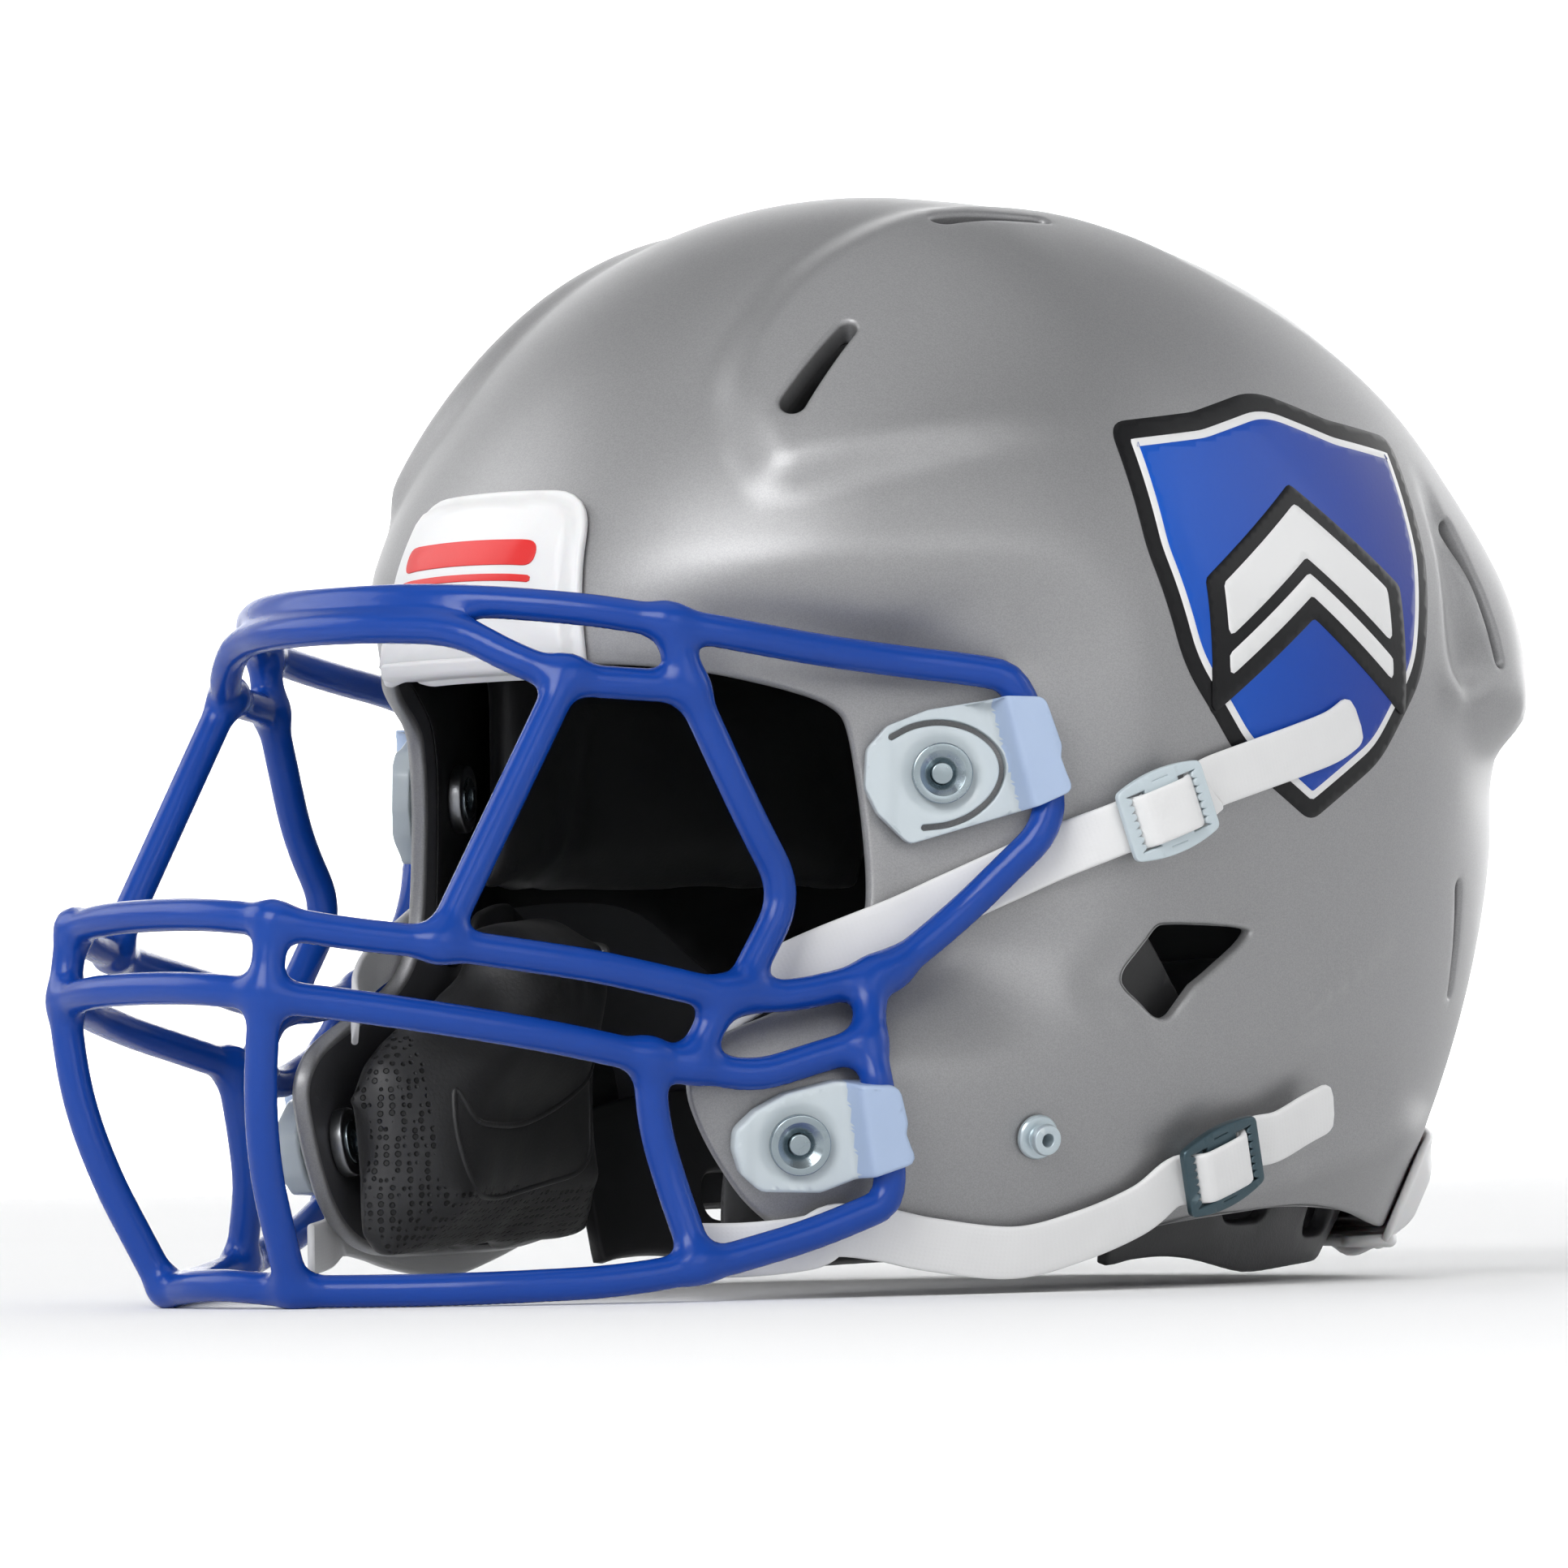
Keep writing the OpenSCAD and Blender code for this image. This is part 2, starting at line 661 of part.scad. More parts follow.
shell();
front_bumper();
rear_bumper();
upper_bar();
brow_bar();
nose_bar_upper();
nose_bar_lower();
lower_bar();
wire(eye_bar_path);  // eye_bar_l
wire(flip(eye_bar_path));  // eye_bar_r
wire(side_bar_path);  // side_bar_l
wire(flip(side_bar_path));  // side_bar_r
wire(chin_bar_path);  // chin_bar_l
wire(flip(chin_bar_path));  // chin_bar_r
wire(jaw_bar_path);  // jaw_bar_l
wire(flip(jaw_bar_path));  // jaw_bar_r
short_links();
upper_clip_l();
mirror([1, 0, 0]) upper_clip_l();  // upper_clip_r
lower_clip_l();
mirror([1, 0, 0]) lower_clip_l();  // lower_clip_r
release_housings();
clip_nuts();
pin_springs();
on_shell(upper_clip_at) release_pin();  // release_pin_upper_l
mirror([1, 0, 0]) on_shell(upper_clip_at) release_pin();  // release_pin_upper_r
on_shell(lower_clip_at) release_pin();  // release_pin_lower_l
mirror([1, 0, 0]) on_shell(lower_clip_at) release_pin();  // release_pin_lower_r
snap_studs();
spare_stud_l();
mirror([1, 0, 0]) spare_stud_l();  // spare_stud_r
stud_nuts();
high_buckle_l();
mirror([1, 0, 0]) high_buckle_l();  // high_buckle_r
low_buckle_l();
mirror([1, 0, 0]) low_buckle_l();  // low_buckle_r
high_strap_l();
mirror([1, 0, 0]) high_strap_l();  // high_strap_r
low_strap_l();
mirror([1, 0, 0]) low_strap_l();  // low_strap_r
high_strap_tail_l();
mirror([1, 0, 0]) high_strap_tail_l();  // high_strap_tail_r
low_strap_tail_l();
mirror([1, 0, 0]) low_strap_tail_l();  // low_strap_tail_r
jaw_pad_l();
mirror([1, 0, 0]) jaw_pad_l();  // jaw_pad_r
side_pad_l();
mirror([1, 0, 0]) side_pad_l();  // side_pad_r
front_pad();
crown_pads();
back_pad();
neck_pad();
neck_frame();
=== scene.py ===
"""Looks of the american football helmet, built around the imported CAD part.

Lengths are in millimetres in the code and become metres when a mesh is made.
"""

import math

import bpy
import numpy as np
from mathutils import Matrix, Vector
from mathutils.bvhtree import BVHTree
from mathutils.geometry import delaunay_2d_cdt
from mathutils.kdtree import KDTree


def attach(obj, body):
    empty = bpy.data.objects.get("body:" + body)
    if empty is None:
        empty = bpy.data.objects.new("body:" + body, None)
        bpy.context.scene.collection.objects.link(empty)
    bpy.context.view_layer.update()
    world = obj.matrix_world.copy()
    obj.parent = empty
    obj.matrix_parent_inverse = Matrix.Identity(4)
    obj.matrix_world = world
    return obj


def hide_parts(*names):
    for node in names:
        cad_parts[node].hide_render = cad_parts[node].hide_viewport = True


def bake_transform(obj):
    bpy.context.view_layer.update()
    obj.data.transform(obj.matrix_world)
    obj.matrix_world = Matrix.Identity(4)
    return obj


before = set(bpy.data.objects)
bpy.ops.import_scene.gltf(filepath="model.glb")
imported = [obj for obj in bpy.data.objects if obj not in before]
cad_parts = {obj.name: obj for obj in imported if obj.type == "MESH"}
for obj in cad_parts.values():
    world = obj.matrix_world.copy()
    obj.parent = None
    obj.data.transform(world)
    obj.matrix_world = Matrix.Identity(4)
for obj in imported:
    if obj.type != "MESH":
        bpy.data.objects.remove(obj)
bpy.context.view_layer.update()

MM = 0.001
BODY = "helmet"
scene = bpy.context.scene

# ---------------------------------------------------------------- camera

CAM_TARGET = Vector((0, 0, 0.1163))
CAM_DISTANCE = 2.43
CAM_AZIMUTH, CAM_ELEVATION, CAM_ROLL = (math.radians(d) for d in (48, -1.63, -0.97))


def place_camera():
    back = Vector((
        math.sin(CAM_AZIMUTH) * math.cos(CAM_ELEVATION),
        -math.cos(CAM_AZIMUTH) * math.cos(CAM_ELEVATION),
        math.sin(CAM_ELEVATION),
    ))
    right = Vector((math.cos(CAM_AZIMUTH), math.sin(CAM_AZIMUTH), 0))
    up = back.cross(right)
    right_r = math.cos(CAM_ROLL) * right + math.sin(CAM_ROLL) * up
    up_r = -math.sin(CAM_ROLL) * right + math.cos(CAM_ROLL) * up
    data = bpy.data.cameras.new("camera")
    data.lens = 242.2
    data.sensor_width = 36
    data.clip_end = 50
    camera = bpy.data.objects.new("camera", data)
    camera.matrix_world = Matrix.Translation(CAM_TARGET + CAM_DISTANCE * back) @ Matrix(
        (right_r, up_r, back)
    ).transposed().to_4x4()
    scene.collection.objects.link(camera)
    scene.camera = camera


place_camera()

# ---------------------------------------------------------------- small maths


def smooth(t):
    t = np.clip(t, 0, 1)
    return t * t * (3 - 2 * t)


def spow(x, p):
    return np.sign(x) * np.abs(x) ** p


def fade(s, p):
    return np.maximum(0, 1 - s**p) ** (1 / p)


def unit(v):
    v = np.asarray(v, float)
    return v / np.maximum(np.linalg.norm(v, axis=-1, keepdims=True), 1e-12)


def area(loop):
    b = np.roll(loop, -1, 0)
    return 0.5 * np.sum(loop[:, 0] * b[:, 1] - b[:, 0] * loop[:, 1])


def ccw(loop):
    return loop if area(loop) > 0 else loop[::-1]


def resample(points, step, closed=False, scale=None):
    """Evenly spaced points along a polyline. scale gives the metric points to measure by."""
    p = np.asarray(points, float)
    m = p if scale is None else np.asarray(scale, float)
    if closed:
        p, m = np.vstack([p, p[:1]]), np.vstack([m, m[:1]])
    run = np.concatenate([[0], np.cumsum(np.linalg.norm(np.diff(m, axis=0), axis=1))])
    n = max(3, int(round(run[-1] / step)))
    t = np.linspace(0, run[-1], n + 1)
    out = np.stack([np.interp(t, run, p[:, k]) for k in range(p.shape[1])], 1)
    return out[:-1] if closed else out


def curve(points, closed=False, n=12):
    """Catmull-Rom curve through the points."""
    p = np.asarray(points, float)
    if closed:
        ext = np.vstack([p[-1:], p, p[:2]])
    else:
        ext = np.vstack([2 * p[:1] - p[1:2], p, 2 * p[-1:] - p[-2:-1]])
    t = np.linspace(0, 1, n, endpoint=False)[:, None]
    out = []
    for i in range(1, len(ext) - 2):
        a, b, c, d = ext[i - 1], ext[i], ext[i + 1], ext[i + 2]
        out.append(0.5 * (2 * b + (c - a) * t + (2 * a - 5 * b + 4 * c - d) * t**2
                          + (3 * b - a - 3 * c + d) * t**3))
    out = np.vstack(out)
    return out if closed else np.vstack([out, p[-1:]])


def filleted(points, r, closed=True, n=7):
    """Polyline with its corners rounded by about r."""
    p = np.asarray(points, float)
    radii = np.broadcast_to(np.asarray(r, float), (len(p),))
    out = []
    for i in range(len(p)):
        if not closed and i in (0, len(p) - 1):
            out.append(p[i])
            continue
        a, q, b = p[i - 1], p[i], p[(i + 1) % len(p)]
        u, v = unit(a - q), unit(b - q)
        half = 0.5 * math.acos(float(np.clip(u @ v, -1, 1)))
        d = min(radii[i] / max(math.tan(half), 0.05), 0.48 * np.linalg.norm(a - q),
                0.48 * np.linalg.norm(b - q))
        for t in np.linspace(0, 1, n):
            out.append((1 - t) ** 2 * (q + d * u) + 2 * t * (1 - t) * q + t * t * (q + d * v))
    return np.array(out)


def inside(points, loop):
    a, b = loop, np.roll(loop, -1, 0)
    rise = b[:, 1] - a[:, 1]
    rise = np.where(np.abs(rise) < 1e-12, 1e-12, rise)
    out = np.zeros(len(points), bool)
    for s in range(0, len(points), 4000):
        x, y = points[s:s + 4000, :1], points[s:s + 4000, 1:2]
        edge_x = (b[:, 0] - a[:, 0]) * (y - a[:, 1]) / rise + a[:, 0]
        cross = ((a[:, 1] > y) != (b[:, 1] > y)) & (x < edge_x)
        out[s:s + 4000] = cross.sum(1) % 2 == 1
    return out


# ---------------------------------------------------------------- the shell's surface

HALF_W, FRONT, REAR, TOP = 115, 121.6, 163.8, 252.3
MID_Y, SHOULDER = 24, 124
FRONT_M, REAR_M = 2, 2.28
WALL = 4


def half_lengths(s, drop):
    """How far the shell reaches in front of MID_Y and behind it at a level."""
    return FRONT * fade(s, 1.91) + 28 * smooth(drop / 80), REAR * fade(s, 2.35) - 0.003 * drop**2


def shell_at(a, v):
    """Points of the plain shell at plan angles a and levels v: 0 crown, 1 shoulder, 2 lower edge."""
    a = np.radians(a)
    s = np.where(v <= 1, np.cos(np.pi / 2 * np.minimum(v, 1)), 0)
    z = np.where(v <= 1, SHOULDER + (TOP - SHOULDER) * s, SHOULDER * (2 - v))
    drop = np.maximum(0, SHOULDER - z)
    w = HALF_W * fade(s, 2.16) - 0.0011 * drop**2
    fore = np.sin(a) < 0
    m = np.where(fore, FRONT_M, REAR_M)
    y = MID_Y + np.where(fore, *half_lengths(s, drop)) * spow(np.sin(a), 2 / m)
    pinch = 0.17 * smooth((10 - y) / 50) * smooth((168 - z) / 30) * smooth((z - 45) / 35)
    return np.stack([w * spow(np.cos(a), 2 / m) * (1 - pinch), y, z], -1)


def to_q(a, v):
    """Plan angle and level as a point of the flat disc that the surface is drawn on."""
    a = np.radians(a)
    return np.stack([v * np.cos(a), v * np.sin(a)], -1)


def base(q):
    return shell_at(np.degrees(np.arctan2(q[:, 1], q[:, 0])), np.hypot(q[:, 0], q[:, 1]))


def base_normal(q):
    e = 2e-3
    dx = base(q + [e, 0]) - base(q - [e, 0])
    dy = base(q + [0, e]) - base(q - [0, e])
    return unit(np.cross(dx, dy))


def q_of_side(yz):
    """The disc point on the +X side that shows at [Y, Z] in a side view."""
    y, z = np.asarray(yz, float).T
    z = np.minimum(z, TOP - 0.01)
    v = np.where(z > SHOULDER, np.degrees(np.arccos(np.clip((z - SHOULDER) / (TOP - SHOULDER), 0, 1))) / 90,
                 2 - z / SHOULDER)
    s = np.where(v <= 1, np.cos(np.pi / 2 * np.minimum(v, 1)), 0)
    drop = np.maximum(0, SHOULDER - z)
    fore = y < MID_Y
    m = np.where(fore, FRONT_M, REAR_M)
    reach = np.where(fore, *half_lengths(s, drop))
    sine = np.clip(spow((y - MID_Y) / reach, m / 2), -1, 1)
    return to_q(np.degrees(np.arcsin(sine)), v)


class Place:
    """A local frame on the shell: X rearward, Y up, Z outward, in millimetres."""

    def __init__(self, at, turn=0):
        a, v = at
        self.at = at
        self.o = shell_at(np.float64(a), np.float64(v))
        self.n = unit(np.cross(
            shell_at(np.float64(a + 1), np.float64(v)) - shell_at(np.float64(a - 1), np.float64(v)),
            shell_at(np.float64(a), np.float64(v - 0.01)) - shell_at(np.float64(a), np.float64(v + 0.01)),
        ))
        x = unit([-self.n[1], self.n[0], 0])
        y = np.cross(self.n, x)
        c, s = math.cos(math.radians(turn)), math.sin(math.radians(turn))
        self.x, self.y = c * x + s * y, -s * x + c * y

    def out(self, p):
        p = np.atleast_2d(np.asarray(p, float))
        return self.o + p[:, :1] * self.x + p[:, 1:2] * self.y + p[:, 2:3] * self.n

    def q(self, xy):
        """Disc points whose places on the shell lie over the local points xy."""
        xy = np.asarray(xy, float)
        q = np.repeat(to_q(*self.at)[None], len(xy), 0)
        e = 1e-4
        for _ in range(8):
            d = base(q) - self.o
            miss = np.stack([xy[:, 0] - d @ self.x, xy[:, 1] - d @ self.y], 1)
            gx, gy = (base(q + [e, 0]) - base(q)) / e, (base(q + [0, e]) - base(q)) / e
            j = np.stack([np.stack([gx @ axis, gy @ axis], 1) for axis in (self.x, self.y)], 1)
            q = q + np.linalg.solve(j, miss[:, :, None])[:, :, 0]
        return q


# ---------------------------------------------------------------- relief of the shell

# Lines on the left side as rough 3-D points, which the relief drops onto the shell: the
# crest of the raised side panel, its lower crease, the step behind the clips, the raised
# lens behind the ear hole, the crease below it, the flare at the nape, and the scoop of
# the rear upper vent with the lip under it.
CREST = [[70, -62, 168], [62, -61, 184], [47, -57, 203], [42, -37, 224], [41, -14, 237], [40, 13, 245],
         [40, 44, 246], [48, 63, 240], [60, 80, 228], [66, 102, 212], [68, 124, 190], [68, 143, 160],
         [66, 156, 130]]
LOWER_CREASE = [[61, -66, 178], [72, -50, 181], [84, -30, 185], [95, -10, 190], [104, 15, 190]]
STEP = [[93, -22, 158], [98, -17, 141], [102, -12, 128], [106, -7, 107], [108, -2, 92]]
LENS = [[108, 38, 49], [109, 48, 54], [108, 67, 65], [105, 93, 76]]
DIAGONAL = [[102, -8, 8], [104, 8, 26], [108, 28, 47], [109, 48, 54], [104, 93, 74]]
FLARE = [[104, 30, 17], [103, 49, 22], [100, 75, 27], [90, 107, 33], [70, 137, 38]]
SCOOP = [[87, 117, 182], [92, 120, 166], [96, 120, 150], [96, 122, 142]]
SCOOP_LIP = [[103, 104, 137], [98, 118, 134], [88, 136, 134], [76, 153, 135]]
PANEL_RISE = 3.3
STEP_RISE = 1.5
EAR_DISH = 2.5
LENS_RISE = 1.5
CREASE_DEPTH = 3.4
FLARE_RISE = 3.6
LEDGE_RISE = 6.2
SCOOP_DEPTH = 2.4
LIP_RISE = 1.7


def to_lines(p, line):
    """Distance from points to a 3-D polyline over the shell, place along it and the side it lies on."""
    line = curve(line, n=6)
    a, b = line[:-1], line[1:]
    d = b - a
    best = np.full(len(p), 1e9)
    level = np.zeros(len(p))
    along = np.zeros(len(p))
    side = np.zeros(len(p))
    length = np.linalg.norm(d, axis=1)
    start = np.concatenate([[0], np.cumsum(length)])
    middle = np.array([0, 20, 100.0])
    for i in range(len(a)):
        t = np.clip(((p - a[i]) @ d[i]) / (d[i] @ d[i]), 0, 1)
        gap = p - (a[i] + t[:, None] * d[i])
        dist = np.linalg.norm(gap, axis=1)
        out = unit(a[i] - middle)
        s = gap @ np.cross(d[i], out)
        near = dist < best
        best[near] = dist[near]
        level[near] = np.linalg.norm(gap - (gap @ out)[:, None] * out, axis=1)[near]
        along[near] = (start[i] + t[near] * length[i]) / start[-1]
        side[near] = np.sign(s[near])
    return level, along, side


def loop_distance(p, loop):
    """Signed distance in the side view to a closed outline, below zero inside it."""
    q = p[:, 1:3]
    a, b = loop, np.roll(loop, -1, 0)
    best = np.full(len(q), 1e9)
    for i in range(len(a)):
        d = b[i] - a[i]
        t = np.clip(((q - a[i]) @ d) / max(d @ d, 1e-9), 0, 1)
        best = np.minimum(best, np.linalg.norm(q - (a[i] + t[:, None] * d), axis=1))
    return np.where(inside(q, loop), -best, best)


EAR_HOLE = np.array([[-1, 69], [12, 82.5], [45, 81.5], [14.5, 57.5]], float)


def hill(d, half_width):
    """A rounded ridge's height over its top, d away from its line."""
    return np.exp(-((d / half_width) ** 2))


def panel(p, y, z):
    """The raised side panel, which sinks into the shell at the front, below its crease."""
    d, _, side = to_lines(p, CREST)
    up = smooth((side * d + 7) / 14)
    d, _, side = to_lines(p, LOWER_CREASE)
    over = smooth((-side * d + 5) / 11)
    lose = 1 - smooth((y + 45) / 55)
    return PANEL_RISE * up * (1 - lose * (1 - over)) * smooth((z - 100) / 60)


def step(p):
    d, t, side = to_lines(p, STEP)
    ends = smooth(t / 0.25) * smooth((1 - t) / 0.25)
    return STEP_RISE * smooth((side * d + 3.5) / 7) * ends * (1 - smooth((d - 6) / 40))


def ear_dish(p, y, z):
    """The dish in front of the ear hole and over it, wider above."""
    gap = loop_distance(p, EAR_HOLE)
    dish = 1 - smooth((gap - 1) / (9 + 6 * smooth((z - 78) / 10)))
    return -EAR_DISH * dish * (1 - smooth((y - 4 - 26 * smooth((z - 74) / 10)) / 18))


def swages(p):
    """The lens and the crease behind the ear hole, and the flare at the nape."""
    d, t, side = to_lines(p, LENS)
    above = -side * d
    ends = np.sin(np.pi * np.clip(t, 0, 1)) ** 0.7
    h = LENS_RISE * smooth((above + 0.8) / 1.6) * (1 - smooth(above / 9)) * ends
    d, t, side = to_lines(p, DIAGONAL)
    below = np.maximum(side * d, 0)
    ends = smooth(t / 0.2) * smooth((1 - t) / 0.35)
    h -= CREASE_DEPTH * smooth(below / 26) * ends * smooth((below + 2) / 5)
    d, t, _ = to_lines(p, FLARE)
    return h + FLARE_RISE * hill(d, 6.5) * smooth(t / 0.3) * smooth((1 - t) / 0.35)


def rear_ledge(y, z):
    """The ledge across the back, with a shallow hollow under it."""
    rear = smooth((y - 118) / 30)
    return rear * (LEDGE_RISE * smooth((192 - z) / 56) * smooth((z - 120) / 12) - 1.2 * hill(z - 114, 9))


def scoop(p):
    """The scoop that leads into the rear upper vent, and the lip under it."""
    d, t, _ = to_lines(p, SCOOP)
    h = -SCOOP_DEPTH * (1 - smooth((d - 2) / (3 + 6 * t))) * smooth((t + 0.1) / 0.5)
    d, t, _ = to_lines(p, SCOOP_LIP)
    return h + LIP_RISE * hill(d, 4.5) * smooth(t / 0.25) * smooth((1 - t) / 0.3)


def relief(p):
    """How far the painted surface stands off the plain one, in millimetres."""
    p = np.column_stack([np.abs(p[:, 0]), p[:, 1:]])
    y, z = p[:, 1], p[:, 2]
    return panel(p, y, z) + step(p) + ear_dish(p, y, z) + swages(p) + rear_ledge(y, z) + scoop(p)


def outer(q, h=0.0):
    """The painted surface at disc points q, h further out."""
    p = base(q)
    lift = relief(p) + h
    return p + lift[:, None] * base_normal(q)


def plain(q, h=0.0):
    return base(q) + np.broadcast_to(h, len(q))[:, None] * base_normal(q)


# ---------------------------------------------------------------- mesh makers


def make(name, verts, faces, mats, side=1, body=BODY, which=None):
    verts = np.array(verts, float) * MM
    lists = [np.asarray(f) for f in faces]
    if side < 0:
        verts[:, 0] *= -1
        lists = [f[:, ::-1] for f in lists]
    mesh = bpy.data.meshes.new(name)
    mesh.from_pydata(verts.tolist(), [], [r for f in lists for r in f.tolist()])
    mesh.polygons.foreach_set("use_smooth", np.ones(len(mesh.polygons), bool))
    for m in mats if isinstance(mats, (list, tuple)) else [mats]:
        mesh.materials.append(m)
    if which is not None:
        mesh.polygons.foreach_set("material_index", np.asarray(which, np.int32))
    obj = bpy.data.objects.new(name, mesh)
    scene.collection.objects.link(obj)
    if body:
        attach(obj, body)
    return obj


def triangles(loops, extra):
    """Triangulates inside the first loop and outside the others."""
    points = np.vstack([*loops, extra]) if len(extra) else np.vstack(loops)
    edges, k = [], 0
    for loop in loops:
        n = len(loop)
        edges += [(k + i, k + (i + 1) % n) for i in range(n)]
        k += n
    out = delaunay_2d_cdt([Vector(p) for p in points.tolist()], edges, [], 0, 1e-7, True)
    first = np.array([o[0] if o else -1 for o in out[3]])
    tris = first[np.array([f for f in out[2] if len(f) == 3])]
    tris = tris[(tris >= 0).all(1)]
    tris = tris[(tris[:, 0] != tris[:, 1]) & (tris[:, 1] != tris[:, 2]) & (tris[:, 0] != tris[:, 2])]
    middle = points[tris].mean(1)
    keep = inside(middle, loops[0])
    for hole in loops[1:]:
        keep &= ~inside(middle, hole)
    tris = tris[keep]
    e1 = points[tris[:, 1]] - points[tris[:, 0]]
    e2 = points[tris[:, 2]] - points[tris[:, 0]]
    turned = e1[:, 0] * e2[:, 1] - e1[:, 1] * e2[:, 0] < 0
    tris[turned] = tris[turned][:, ::-1]
    return points, tris


def clear_of(points, metric, loops_metric, gap):
    """The grid points that stay gap away from every loop."""
    near = np.vstack(loops_metric)
    tree = KDTree(len(near))
    for i, p in enumerate(near):
        tree.insert(p, i)
    tree.balance()
    keep = np.array([tree.find(p)[2] > gap for p in metric.tolist()], bool)
    return points[keep]


def sheet(name, loops, grid, top, bottom, r, mats, steps=4, side=1, body=BODY, inner=0):
    """A solid between two surfaces with a rounded rim. top and bottom map flat points to 3-D."""
    loops = [ccw(loops[0])] + [ccw(h)[::-1] for h in loops[1:]]
    points, tris = triangles(loops, grid)
    up, down = top(points), bottom(points)
    n = len(points)
    verts, quads, k, base_n = [up, down], [], 2 * n, 0
    for loop in loops:
        m = len(loop)
        ids = np.arange(base_n, base_n + m)
        pt, pb = up[ids], down[ids]
        nrm = unit(pt - pb)
        tangent = unit(np.roll(pt, -1, 0) - np.roll(pt, 1, 0))
        out = unit(np.cross(tangent, nrm))
        rings = [ids]
        for j in range(1, steps + 1):
            g = math.pi / 2 * j / steps
            verts.append(pt + r * math.sin(g) * out - r * (1 - math.cos(g)) * nrm)
            rings.append(np.arange(k, k + m))
            k += m
        for j in range(steps, 0, -1):
            g = math.pi / 2 * j / steps
            verts.append(pb + r * math.sin(g) * out + r * (1 - math.cos(g)) * nrm)
            rings.append(np.arange(k, k + m))
            k += m
        rings.append(ids + n)
        for a, b in zip(rings[:-1], rings[1:]):
            quads.append(np.stack([a, b, np.roll(b, -1), np.roll(a, -1)], 1))
        base_n += m
    quads = np.vstack(quads)
    faces = [tris, tris[:, ::-1] + n, quads]
    which = None
    if inner:
        which = np.concatenate([np.zeros(len(tris)), np.full(len(tris), inner), np.zeros(len(quads))])
    return make(name, np.vstack(verts), faces, mats, side, body, which)


def disc_grid(spacing, v0=0.0, v1=2.0):
    """Rings of points over the disc, about spacing apart on the shell."""
    out = [np.zeros((1, 2))]
    v, k = 0.0, 0
    while v < v1:
        v += spacing / (200 if v < 1 else 128)
        ring = to_q(np.linspace(0, 360, 720, endpoint=False), np.full(720, v))
        p = resample(ring, spacing, True, base(ring))
        if k % 2:
            mid = 0.5 * (p + np.roll(p, -1, 0))
            p = mid
        k += 1
        if v0 <= v <= v1:
            out.append(p)
    return np.vstack(out)


GRID = disc_grid(2.4)


def skin(name, loops, top, bottom, r, mats, grid=None, gap=1.3, **more):
    """A sheet drawn on the shell's disc."""
    grid = GRID if grid is None else grid
    box0, box1 = loops[0].min(0), loops[0].max(0)
    grid = grid[((grid > box0) & (grid < box1)).all(1)]
    if len(grid):
        grid = grid[inside(grid, loops[0])]
    for hole in loops[1:]:
        grid = grid[~inside(grid, hole)]
    if len(grid):
        grid = clear_of(grid, base(grid), [base(loop) for loop in loops], gap)
    return sheet(name, loops, grid, top, bottom, r, mats, **more)


def both(loop):
    """A loop on the left and its mirror image on the right."""
    return [loop, loop * [-1, 1]]


def disc_curve(q, step, closed=True):
    return resample(q, step, closed, base(q))


def lathe(name, profile, place, mats, side=1, body=BODY, n=48, ring=False):
    """A turned solid. profile is [radius, height] from the axis's top out and down, or a closed ring."""
    g = np.linspace(0, 2 * np.pi, n, endpoint=False)
    profile = np.asarray(profile, float)
    rings, faces, k = [], [], 0
    ids = []
    for rad, h in profile:
        if rad < 1e-6:
            rings.append(place.out([[0, 0, h]]))
            ids.append(np.array([k]))
            k += 1
        else:
            rings.append(place.out(np.stack([rad * np.cos(g), rad * np.sin(g), np.full(n, h)], 1)))
            ids.append(np.arange(k, k + n))
            k += n
    tris = []
    quads = []
    if ring:
        ids.append(ids[0])
    for a, b in zip(ids[:-1], ids[1:]):
        if len(a) == 1 and len(b) > 1:
            tris.append(np.stack([np.full(n, a[0]), b, np.roll(b, -1)], 1))
        elif len(b) == 1 and len(a) > 1:
            tris.append(np.stack([a, np.full(n, b[0]), np.roll(a, -1)], 1))
        elif len(a) > 1:
            quads.append(np.stack([a, b, np.roll(b, -1), np.roll(a, -1)], 1))
    faces = [np.vstack(x) for x in (tris, quads) if x]
    return make(name, np.vstack(rings), faces, mats, side, body)


# ---------------------------------------------------------------- materials


